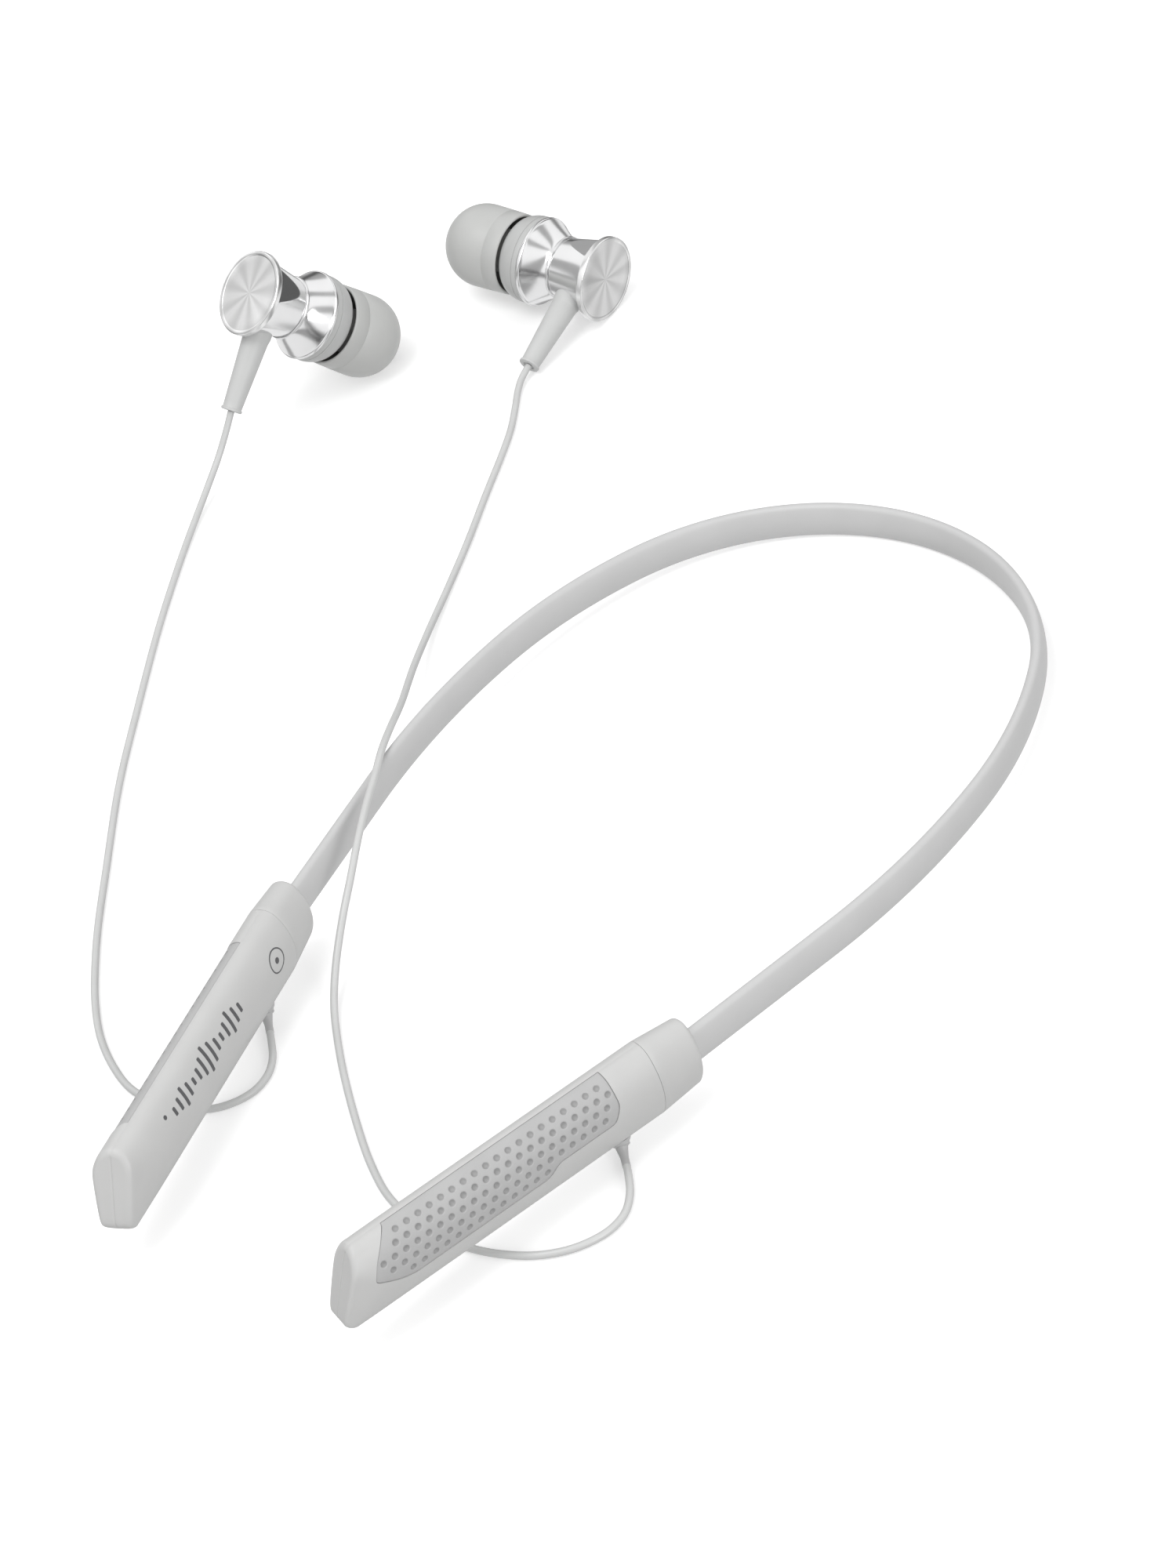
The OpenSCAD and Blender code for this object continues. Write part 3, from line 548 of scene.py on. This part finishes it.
def glands():
    """A ring under the pod, a plug, and a sleeve that narrows to the cord as it bends down to the table."""
    ring, ring_ends = (1.9, 1.9, 1.84, 1.7), (-0.4, 0.05, 0.35, 0.6)
    plug_r, plug_share, neck_r, neck_share, cord_r, parts = 1.45, 0.3, 1.1, 0.45, 0.68, 14
    heading = math.radians(GLAND_HEADING)
    for side in SIDES:
        place = pod_place(side)
        root = place @ Vector((GLAND_X, 0, -POD_H / 2))
        down = (place.to_3x3() @ Vector((0, 0, -1))).normalized()
        end = Vector(ROUTE[side][0])
        path, radii = [root + down * v for v in ring_ends], list(ring)
        start, corner = root + down * 0.7, root + down * (0.6 + GLAND_BEND)
        for i in range(parts + 1):
            u = i / parts
            path.append(start * (1 - u) ** 2 + corner * 2 * u * (1 - u) + end * u**2)
            narrowed = max(0, 1 - (u - plug_share) / neck_share)
            radii.append(plug_r if u < plug_share else cord_r + (neck_r - cord_r) * narrowed)
        shape = sweep(path, [circle(r, 28) for r in radii], Vector((math.cos(heading), math.sin(heading), 0)))
        build(f"{side}_gland", shape, Matrix(), "gland_rubber", ARM_BODY[side], (f"gland_{side}",), sharp=50)


# ================ Neckband strap ================
def strap_section():
    """Flat band with crowned faces and rounded edges."""
    half_h, edge = BAND_HEIGHT / 2, 0.95
    edge_c = half_h - edge
    crown_r = ((BAND_THICK / 2) ** 2 + edge_c**2 - edge**2) / (2 * (BAND_THICK / 2 - edge))
    crown_c = crown_r - BAND_THICK / 2
    turn = math.degrees(math.atan2(edge_c, crown_c))
    right = arc((-crown_c, 0), crown_r, -turn, turn, 12)[1:-1]
    top = arc((0, edge_c), edge, turn, 180 - turn, 12)
    left = [(-a, -b) for a, b in right]
    low = [(-a, -b) for a, b in top]
    return right + top + left + low


def strap():
    """The band in one piece, across where its halves meet behind the neck."""
    half, _, _ = band_half()
    path = [Vector((p.x, -p.y, 0)) for p in reversed(half)] + half[1:]
    section = strap_section()
    shape = sweep(path, [section] * len(path), Vector((0, 0, 1)).cross(path[1] - path[0]))
    piece = build("neckband_strap", shape, leaned(), "band_elastomer", None, ("band_right", "band_left"))
    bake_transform(piece)


# ================ Pods ================
def pod_point(x, s, inset=0.0, inner=False, scale=1.0):
    """A point of a pod's skin: s runs round half of the section, from -HALF_S below to HALF_S on top."""
    if abs(s) <= FACE_S:
        turn = s / FACE_R
        y = (FACE_R - inset) * math.cos(turn) - FACE_C
        z = (FACE_R - inset) * math.sin(turn)
    else:
        turn = FACE_TURN + (abs(s) - FACE_S) / EDGE_R
        y = (EDGE_R - inset) * math.cos(turn)
        z = math.copysign(EDGE_C + (EDGE_R - inset) * math.sin(turn), s)
    start, slope = TAPER_INNER if inner else TAPER_OUTER
    if x > start:
        past = x - start
        limit = POD_T / 2 - inset - slope * past**2 / (past + TAPER_EASE)
        soft = min(0.6, 0.15 * past)
        y = (y - math.hypot(y - limit, soft) + math.hypot(limit, soft)) / 2
    return Vector((x, scale * (y if inner else -y), scale * z))


def tip_x(y, z):
    """Where the tip ends: slanted from the top forwards, cut back below, and foremost on the outer side."""
    slanted = TIP_X - TIP_RISE * (z - TIP_Z)
    cut_back = TIP_X + TIP_FALL * (z - TIP_Z)
    return (slanted + cut_back - math.hypot(slanted - cut_back, 1.1)) / 2 - TIP_SHEAR * y


def tip_edge(s, inner):
    """Where the skin turns over into the end face."""
    x = TIP_X
    for _ in range(3):
        p = pod_point(x, s, 0, inner)
        x = tip_x(p.y, p.z) - TIP_BEVEL
    return x


def groove(gap):
    """Depth of the fine seam between the shells, at a distance from it."""
    return SEAM_DEEP * (1 - gap / SEAM_WIDE) ** 2 if gap < SEAM_WIDE else 0.0


def shell_point(x, s, depth, inner):
    """A point of a shell at a depth under its skin. Past the tip's edge, x goes on over the bevel and
    across the end face to the seam."""
    cut = groove(HALF_S - abs(s)) if depth == 0 else 0
    edge = tip_edge(s, inner)
    if x <= edge:
        return pod_point(x, s, depth + cut, inner)
    turn = min(1, (x - edge) / TIP_ARC) * math.pi / 2
    across = max(0, min(1, (x - edge - TIP_ARC) / TIP_FLAT))
    p = pod_point(edge, s, depth + cut + TIP_BEVEL * (1 - math.cos(turn)), inner)
    p.y *= 1 - across
    ahead = (TIP_BEVEL - depth) * math.sin(turn)
    if across and depth == 0:
        ahead -= groove(abs(p.y))
    return Vector((tip_x(p.y, p.z) - TIP_BEVEL + ahead, p.y, p.z))


# ---- Loops and slabs in the x, s plane ----
def spaced(points, step):
    """A closed loop of points with more between them, so that none are over a step apart."""
    out = []
    for a, b in zip(points, points[1:] + points[:1]):
        parts = max(1, math.ceil(math.dist(a, b) / step))
        out += [(a[0] + (b[0] - a[0]) * i / parts, a[1] + (b[1] - a[1]) * i / parts) for i in range(parts)]
    return out


def rounded(corners, radius):
    """A chain with each corner between its ends replaced by a short curve."""
    out = [corners[0]]
    for before, here, after in zip(corners, corners[1:], corners[2:]):
        before, here, after = Vector(before), Vector(here), Vector(after)
        a = here + (before - here).normalized() * min(radius, (before - here).length * 0.45)
        b = here + (after - here).normalized() * min(radius, (after - here).length * 0.45)
        out += [tuple(a * (1 - u) ** 2 + here * 2 * u * (1 - u) + b * u**2) for u in (0, 0.25, 0.5, 0.75, 1)]
    return out + [corners[-1]]


def shifted(loop, distance):
    """A closed anticlockwise loop moved inwards by a distance."""
    out = []
    n = len(loop)
    for i in range(n):
        ahead = (Vector(loop[(i + 1) % n]) - Vector(loop[i - 1])).normalized()
        out.append((loop[i][0] - ahead.y * distance, loop[i][1] + ahead.x * distance))
    return out


def inside(points, loop):
    """Which points lie inside a closed loop."""
    p, a = np.asarray(points, float), np.asarray(loop, float)
    b = np.roll(a, -1, axis=0)
    x, y = p[:, :1], p[:, 1:]
    spans = (a[:, 1] > y) != (b[:, 1] > y)
    rise = np.where(b[:, 1] == a[:, 1], 1e-12, b[:, 1] - a[:, 1])
    crosses = x < (b[:, 0] - a[:, 0]) * (y - a[:, 1]) / rise + a[:, 0]
    return np.sum(spans & crosses, axis=1) % 2 == 1


def nearest(points, others):
    """Each point's distance to the closest of others."""
    q = np.asarray(others, float)
    return np.array([np.min(np.hypot(q[:, 0] - x, q[:, 1] - s)) for x, s in points])


def filled(outline, holes, step, lift, extra=(), keep_off=()):
    """Fills a region of the x, s plane with triangles and lifts it into space. extra points become
    corners, and the grid that fills the rest keeps off the (x, s, radius) discs in keep_off."""
    fixed, edges = [], []
    for loop in [outline, *holes]:
        first = len(fixed)
        fixed += loop
        edges += [(first + i, first + (i + 1) % len(loop)) for i in range(len(loop))]
    fixed += list(extra)
    xs, ss = [p[0] for p in outline], [p[1] for p in outline]
    across, up = step
    grid = np.array([(min(xs) + (i + 0.5 * (j % 2)) * across, min(ss) + (j + 0.5) * up)
                     for j in range(int((max(ss) - min(ss)) / up) + 1)
                     for i in range(int((max(xs) - min(xs)) / across) + 1)])
    for x, s, radius in keep_off:
        grid = grid[np.hypot(grid[:, 0] - x, grid[:, 1] - s) > radius]
    grid = grid[inside(grid, outline)]
    for loop in holes:
        grid = grid[~inside(grid, loop)]
    grid = grid[nearest(grid, fixed) > 0.4 * min(step)]
    made = delaunay_2d_cdt([Vector(p) for p in fixed] + [Vector(p) for p in grid], edges, [], 0, 1e-5)
    flat = np.array([tuple(v) for v in made[0]])
    faces = np.array([tuple(f) for f in made[2]])
    centres = flat[faces].mean(axis=1)
    keep = inside(centres, outline)
    for loop in holes:
        keep &= ~inside(centres, loop)
    return [lift(x, s) for x, s in flat], [tuple(int(i) for i in f) for f in faces[keep]]


def bands(loops):
    """Strips of quads between matching closed loops of 3-D points."""
    n = len(loops[0])
    verts = [p for loop in loops for p in loop]
    faces = [(i * n + k, i * n + (k + 1) % n, (i + 1) * n + (k + 1) % n, (i + 1) * n + k)
             for i in range(len(loops) - 1) for k in range(n)]
    return verts, faces


def slab(outline, holes, step, point, top, back, lip=0.0, hole_lip=0.0, relief=None, extra=(), keep_off=()):
    """A closed slab over a region of the x, s plane, from depth top to depth back, with rounded edges.
    relief gives the extra depth of its top at a point."""
    def shaped(x, s):
        return point(x, s, top + (relief(x, s) if relief else 0))

    parts = []
    skins, backs = [], []
    for i, loop in enumerate([outline, *holes]):
        edge, way = (lip, 1) if i == 0 else (hole_lip, -1)
        rows = [(loop, top)]
        if edge:
            turns = [math.radians(18 * k) for k in range(6)]
            rows = [(shifted(loop, way * edge * (1 - math.sin(t))), top + edge * (1 - math.cos(t)))
                    for t in turns]
        skins.append(rows[0][0])
        backs.append(loop)
        rows.append((loop, back))
        parts.append(bands([[point(x, s, depth) for x, s in row] for row, depth in rows]))
    parts.append(filled(skins[0], skins[1:], step, shaped, extra, keep_off))
    parts.append(filled(backs[0], backs[1:], (step[0] * 1.5, step[1] * 1.5), lambda x, s: point(x, s, back)))
    return join(*parts)


# ---- The pod's pieces ----
def panel_outline():
    """The grip panel's edge from the seam on top, down, along the bottom and up to the seam again."""
    (x0, x1), low, rear = PANEL_X, PANEL_LOW, PANEL_LOW_REAR
    return rounded([
        (x0, HALF_S), (x0 - 0.1, 2.2), (x0 + 1.5, rear), (PANEL_STEP - 1.1, rear),
        (PANEL_STEP + 1.3, low), (x1 - 7.4, low), (x1 - 5.1, low + 0.6), (x1 - 2.9, low + 1.6),
        (x1 - 0.1, low + 3.1), (x1 - 1.5, 3.8), (x1 - 4.1, 6.8), (x1 - 5.5, 8.4), (x1 - 5.8, HALF_S)], 0.9)


def disc(x, s, radius, sides=24):
    return [(x + a, s + b) for a, b in circle(radius, sides)]


def key_loop(x, length, grow):
    """A stadium round a key, anticlockwise."""
    half, r = (length - KEY_W) / 2, KEY_W / 2 + grow
    return arc((x + half, 0), r, -90, 90, 14) + arc((x - half, 0), r, 90, 270, 14)


def shell(side, inner):
    """Half of a pod's casing: its skin, the rounded tip, its openings and its wall thickness."""
    x0 = COLLAR[1] + 0.06
    rows = [HALF_S * (k / 24 - 1) for k in range(49)]
    over = [TIP_ARC * k / 6 for k in range(7)] + [TIP_ARC + TIP_FLAT * t for t in (0.3, 0.6, 0.85, 0.95)]
    edge = {s: tip_edge(s, inner) for s in rows}
    extra = [(edge[s] + v, s) for s in rows[1:-1] for v in over]
    low = [(x0, -HALF_S)]
    if side == "left":
        left, right, up = USB_X - USB_HALF, USB_X + USB_HALF, USB_UP - HALF_S
        low += [(left, -HALF_S), (left, up), (right, up), (right, -HALF_S)]
    low += [(edge[rows[0]] + v, -HALF_S) for v in over]
    tip = [(edge[s] + TIP_ARC + TIP_FLAT, s) for s in rows]
    top = [(edge[rows[-1]] + v, HALF_S) for v in over[::-1]]
    if not inner:
        top += panel_outline()[::-1]
    outline = spaced([*low, *tip, *top, (x0, HALF_S)], 0.7)
    holes = []
    if inner and side == "left":
        holes = [key_loop(x, length, KEY_GAP) for _, x, length in KEYS]
        holes += [disc(*LIGHT_AT, LIGHT_HOLE_R), disc(*MIC_AT, MIC_HOLE_R)]
    shape = slab(outline, holes, (0.9, 0.4), lambda x, s, depth: shell_point(x, s, depth, inner),
                 0, WALL, hole_lip=0.12, extra=extra)
    half = "inner" if inner else "outer"
    build(f"{side}_pod_{half}", shape, pod_place(side), "pod_plastic", ARM_BODY[side],
          (f"pod_{side}_{half}_shell",), mirror=side == "left", sharp=40)


def dimple_centres():
    """Staggered rows of dimples. The lowest row only fits under the panel's front part."""
    outline = panel_outline()
    centres = []
    for row in range(DIMPLE_ROWS):
        s = DIMPLE_TOP_S - DIMPLE_ROW * row
        for k in range(-1, 24):
            x = PANEL_X[0] + 2.05 + DIMPLE_PITCH * (k - 0.5 * (row % 2))
            if inside([(x, s)], outline)[0] and nearest([(x, s)], spaced(outline, 0.3))[0] > 1.0:
                centres.append((x, s))
    return centres


def panel(side):
    """The grip panel, with its field of dimples, whose cups get a darker material as painted shade."""
    centres = dimple_centres()
    extra = []
    for x, s in centres:
        extra.append((x, s))
        for part in (0.3, 0.55, 0.75, 0.9, 1.0, 1.12, 1.3):
            extra += disc(x, s, DIMPLE_R * part, 14)
    spots = np.array(centres)

    def relief(x, s):
        r = np.min(np.hypot(spots[:, 0] - x, spots[:, 1] - s)) / DIMPLE_R
        if r > 1.28:
            return 0
        cup = 1 - r * r
        return DIMPLE_DEPTH * (cup + math.hypot(cup, 0.1)) / 2

    outline = spaced(panel_outline(), 0.5)
    shape = slab(outline, [], (0.8, 0.5), pod_point_at(False), PANEL_SET_BACK, WALL, lip=0.22,
                 relief=relief, extra=extra, keep_off=[(x, s, DIMPLE_R * 1.5) for x, s in centres])
    piece = build(f"{side}_grip_panel", shape, pod_place(side), "panel_rubber", ARM_BODY[side],
                  (f"grip_panel_{side}",), mirror=side == "left", sharp=50)
    # painted shade: faces inside the dimples' cups take a darker material, standing in for the shade in them
    piece.data.materials.append(DIMPLE_PAINTED_SHADE)
    dimples = np.array([pod_point(x, s, DIMPLE_DEPTH) for x, s in centres])
    for face in piece.data.polygons:
        at = face.center / MM
        at = np.array((at.x, -abs(at.y), at.z))
        if np.min(np.linalg.norm(dimples - at, axis=1)) < DIMPLE_R * 0.92:
            face.material_index = 1


def pod_point_at(inner):
    return lambda x, s, depth: pod_point(x, s, depth, inner)


def collar(side):
    """The sleeve that holds the band: it tapers to a rounded end with a close opening for the strap."""
    x0, x1 = COLLAR
    soft, lip = 0.8, 0.1
    stations = [(x0 + soft * (1 - math.cos(t)), soft * (1 - math.sin(t)))
                for t in [math.radians(12 * k) for k in range(8)]]
    stations += [(x0 + soft + (x1 - lip - x0 - soft) * k / 8, 0) for k in range(9)]
    stations += [(x1 - lip * 0.3, lip * 0.3), (x1, lip)]
    rows = [HALF_S * (k / 20 - 1) for k in range(41)]
    loops = []
    for x, inset in stations:
        scale = COLLAR_NARROW + (1 - COLLAR_NARROW) * (x - x0) / (x1 - x0)
        loops.append([pod_point(x, s, inset, False, scale) for s in rows]
                     + [pod_point(x, s, inset, True, scale) for s in rows[-2:0:-1]])
    mouth = []
    for p in loops[0]:
        reach = ((p.y / COLLAR_MOUTH[0]) ** 4 + (p.z / COLLAR_MOUTH[1]) ** 4) ** -0.25
        mouth.append(Vector((x0, p.y * reach, p.z * reach)))
    floor = [Vector((x0 + 0.9, p.y, p.z)) for p in mouth]
    verts, faces = bands([floor, mouth, *loops])
    n = len(mouth)
    faces += [tuple(range(n)), tuple(range(len(verts) - n, len(verts)))]
    build(f"{side}_collar", (verts, faces), pod_place(side), "pod_plastic", ARM_BODY[side],
          (f"collar_{side}",), mirror=side == "left", sharp=40)


def key_marks(name, x):
    """Generic signs moulded on the keys: plus, a dot and minus."""
    point, top = pod_point_at(True), -KEY_PROUD - 0.1

    def bar(half_x, half_s):
        loop = [(x - half_x, -half_s), (x + half_x, -half_s), (x + half_x, half_s), (x - half_x, half_s)]
        return slab(spaced(loop, 0.3), [], (0.3, 0.3), point, top, 0)

    if name == "volume_up":
        return [bar(0.9, 0.17), bar(0.17, 0.9)]
    if name == "volume_down":
        return [bar(0.9, 0.17)]
    return [slab(disc(x, 0, 0.6), [], (0.3, 0.3), point, top, 0, lip=0.1)]


def keys():
    """Rounded keys, each with a flange behind the pod's wall."""
    point = pod_point_at(True)
    for name, x, length in KEYS:
        body = slab(key_loop(x, length, 0), [], (0.6, 0.4), point, -KEY_PROUD, WALL + 0.4, lip=0.4)
        flange = slab(key_loop(x, length + 0.6, 0.3), [], (0.9, 0.6), point, WALL + 0.35, WALL + 0.85)
        build(f"{name}_key_cap", join(body, flange, *key_marks(name, x)), pod_place("left"), "button_plastic",
              f"{name}_key", (f"{name}_button",), mirror=True, sharp=40)


def light():
    """Light pipe in the left pod's inner face."""
    shape = slab(disc(*LIGHT_AT, 0.55), [], (0.3, 0.3), pod_point_at(True), 0.05, 3.4, lip=0.15)
    build("left_light_pipe", shape, pod_place("left"), "light_pipe", "left_arm", ("status_light",),
          mirror=True)


def charging_port():
    """A metal sleeve with rolled corners round a tongue with five contacts."""
    def box(half, y_half, radius):
        corners = [(-half, -y_half), (half, -y_half), (half, y_half), (-half, y_half)]
        loop = rounded([corners[-1], *corners, corners[0]], radius)[1:-1]
        return [(USB_X + a, b) for a, b in loop]

    outer, mouth = box(3.68, 1.23, 0.8), box(3.4, 0.95, 0.6)
    loops = [[Vector((a, b, z)) for a, b in loop]
             for loop, z in ((outer, -1.6), (outer, -6.75), (mouth, -6.8), (mouth, -2.2))]
    sleeve = bands(loops)
    n = len(outer)
    sleeve[1].extend([tuple(range(n)), tuple(range(3 * n, 4 * n))])

    def block(x, y, z0, z1, half_x, half_y):
        ring = [(x - half_x, y - half_y), (x + half_x, y - half_y), (x + half_x, y + half_y),
                (x - half_x, y + half_y)]
        verts, faces = bands([[Vector((a, b, z)) for a, b in ring] for z in (z0, z1)])
        return verts, faces + [(0, 1, 2, 3), (4, 5, 6, 7)]

    blocks = [block(USB_X, 0, -2, -6, 2.3, 0.3)]
    blocks += [block(USB_X - 1.6 + 0.8 * k, 0.32, -2.4, -5.8, 0.16, 0.05) for k in range(5)]
    build("left_charging_port", join(sleeve, *blocks), pod_place("left"), "usb_metal", "left_arm",
          ("usb_port",), mirror=True)


def pod_prints():
    """Generic marks on the right pod's inner face: a ring with a dot, a row of level bars and a dot."""
    point = pod_point_at(True)
    ink = dict(top=-0.02, back=0.05)
    marks = [slab(disc(*RING_AT, 2.2, 40), [disc(*RING_AT, 1.95, 40)], (0.4, 0.4), point, **ink),
             slab(disc(*RING_AT, 0.55, 24), [], (0.3, 0.3), point, **ink)]
    for k, half in enumerate(BAR_HALVES):
        x, s, w = BARS_AT[0] + BAR_PITCH * k, BARS_AT[1], 0.35
        loop = rounded([(x, s - half), (x + w, s - half), (x + w, s + half), (x - w, s + half),
                        (x - w, s - half), (x, s - half)], 0.3)[:-1]
        marks.append(slab(spaced(loop, 0.5), [], (0.4, 0.4), point, **ink))
    marks.append(slab(disc(*DOT_AT, 0.4, 20), [], (0.3, 0.3), point, **ink))
    piece = build("right_pod_marks", join(*marks), pod_place("right"), "pod_plastic", "neckband")
    piece.data.materials.clear()
    piece.data.materials.append(INK)


def pods():
    for side in SIDES:
        collar(side)
        shell(side, False)
        shell(side, True)
        panel(side)
    keys()
    light()
    charging_port()
    pod_prints()


# ================ Earbuds ================
def profile_of(*runs):
    """Runs of (radius, z) points and arcs as one profile."""
    return [p for run in runs for p in (run if isinstance(run, list) else [run])]


def cap(side):
    """A spun disc with a fine raised rim and a soft dish."""
    dish = [(5.9 * k / 12, 0.16 - 0.06 * (k / 12) ** 2) for k in range(13)]
    rim = [(6.5, 0.1), (6.62, 0.03), (6.8, 0.0), (7.05, 0.0)] + arc((7.05, 0.25), 0.25, -90, 0, 5)
    back = arc((7.15, 0.95), 0.15, 0, 90, 4) + [(4.6, 1.1), (4.6, 1.9), (0, 1.9)]
    build(f"{side}_bud_cap", lathe(profile_of(dish, rim, back), 128), bud_place(side), "cap_metal",
          "neckband", (f"bud_{side}_cap",), sharp=30, size=BUD_SCALE)


def barrel(side):
    """A waisted sleeve with one flat facet and a thin slot along the facet's edge."""
    spin = math.radians(FACET_TURN[side])
    rows = [(6.6 - 1.4 * (k / 36) ** 0.85, 1.1 + 7.3 * k / 36) for k in range(37)]
    verts, faces = lathe([(5.3, 1.1), (6.35, 1.1), *rows, (4.2, 8.4), (5.3, 1.1)], 240)
    across, along = Vector((math.cos(spin), math.sin(spin), 0)), Vector((-math.sin(spin), math.cos(spin), 0))
    shaped = []
    for p in verts:
        out, wide = p.dot(across), p.dot(along)
        if FACET_Z[0] < p.z < FACET_Z[1] and out > FACET_REACH:
            p = p + across * (FACET_REACH - out)
            if SLOT_ACROSS[0] < wide < SLOT_ACROSS[1] and SLOT_Z[0] < p.z < SLOT_Z[1]:
                p = p - across * SLOT_DEPTH
        shaped.append(p)
    build(f"{side}_bud_barrel", (shaped, faces), bud_place(side), "bud_metal", "neckband",
          (f"bud_{side}_barrel",), sharp=24, size=BUD_SCALE)


def front_cone(side):
    """A bright ridge at the waist and a polished cone that flares to a thin ring."""
    ridge = [(4.3, 8.42), (5.25, 8.42)] + arc((5.25, 8.67), 0.25, -90, 70, 7)
    flare = [(5.3 + 2.15 * u**1.25, 9.0 + 3.75 * u) for u in [k / 16 for k in range(17)]]
    ring = [(7.5, 12.85)] + arc((7.45, 13.1), 0.25, -45, 0, 3) + arc((7.4, 13.3), 0.3, 0, 90, 5)
    back = [(6.5, 13.6), (6.5, 13), (4.3, 9)]
    build(f"{side}_bud_front_cone", lathe(profile_of(ridge, flare, ring, back, (4.3, 8.42)), 128),
          bud_place(side), "bud_metal", "neckband", (f"bud_{side}_front_cone",), sharp=30, size=BUD_SCALE)


def nozzle(side):
    """The plastic front: a gasket ring, a dome, and the nozzle tube with a shallow bead at its end."""
    dome = [(5.1 + 2.45 * math.cos(t), 14.9 + 3.5 * math.sin(t))
            for t in [math.radians(7.5 * k) for k in range(13)]]
    tube = [(2.9, 18.55), (2.9, 25.6)] + arc((2.65, 26.1), 0.28, 0, 90, 4) + [(2.05, 26.4), (2.05, 15.4)]
    skirt = [(6.2, 13.62), (7.5, 13.62), (7.55, 13.75), (7.55, 14.5), (7.45, 14.56), (7.45, 14.62),
             (7.55, 14.68)]
    build(f"{side}_bud_front", lathe(profile_of(skirt, dome, (3.05, 18.4), tube, (6.2, 13.62)), 112),
          bud_place(side), "bud_plastic", "neckband", (f"bud_{side}_nozzle",), sharp=35, size=BUD_SCALE)


def ear_tip(side):
    """A silicone mushroom: a sleeve on the nozzle under a hollow skirt with a fine mould line."""
    r, mid, end = 7.2, 25.4, 32.0
    dome = [(r * math.cos(t), mid + (end - mid) * math.sin(t) / TIP_ARC_TOP)
            for t in [math.radians(4 * k) for k in range(16)]]
    rim = [(6.5, 18.7)] + arc((6.78, 18.65), 0.27, 200, 350, 8) + [(7.08, 19.6), (7.12, 21.2), (7.08, 21.26),
                                                                   (7.13, 21.32)]
    crown = [(2.9, 31.72), (2.55, 31.95), (2.3, 31.92), (2.2, 31.7), (2.2, 28.6), (2.95, 28.6), (2.95, 19.2),
             (3.1, 19.02), (3.7, 19.02), (3.85, 19.2), (3.85, 27.6), (4.2, 28.6)]
    under = [((r - 0.6) * math.cos(t), mid + 6 * math.sin(t) / TIP_ARC_TOP)
             for t in [math.radians(8 * k) for k in range(5, -1, -1)]]
    build(f"{side}_ear_tip_skin", lathe(profile_of(rim, dome, crown, under, (6.5, 18.7)), 128),
          bud_place(side), "tip_silicone", f"{side}_ear_tip", (f"ear_tip_{side}",), sharp=40, size=BUD_SCALE)


def boot(side):
    """The strain relief: a tapered sleeve with a thin lip where the cord leaves it."""
    root = [(0, 4.3), (2.35, 4.3), (2.45, 5.6), (2.42, 6.4), (2.28, 7.0)]
    taper = [(2.25 - 0.62 * u, 7.2 + 11.7 * u) for u in [k / 12 for k in range(13)]]
    lip = [(1.66, 18.98), (1.78, 19.05), (1.82, 19.2), (1.78, 19.42), (1.66, 19.5), (1.0, 19.5), (0.9, 19.3),
           (0, 19.3)]
    place = bud_place(side) @ Matrix.Translation((0, 0, BOOT_AT * BUD_SCALE)) @ turned(90, "Y")
    build(f"{side}_bud_boot", lathe(profile_of(root, taper, lip), 64), place, "boot_rubber", "neckband",
          (f"bud_{side}_boot",), sharp=40, size=BUD_SCALE)


def earbuds():
    for side in SIDES:
        for make in (cap, barrel, front_cone, nozzle, ear_tip, boot):
            make(side)


LOOK = looks()
INK = surface("ink", (0.1, 0.1, 0.105), 0.5)
# painted shade for the insides of the grip panel's dimples
DIMPLE_PAINTED_SHADE = surface("dimple_painted_shade", (0.34, 0.34, 0.34), 0.55)
camera()
stage()
cords()
glands()
strap()
pods()
earbuds()
dress_frame()
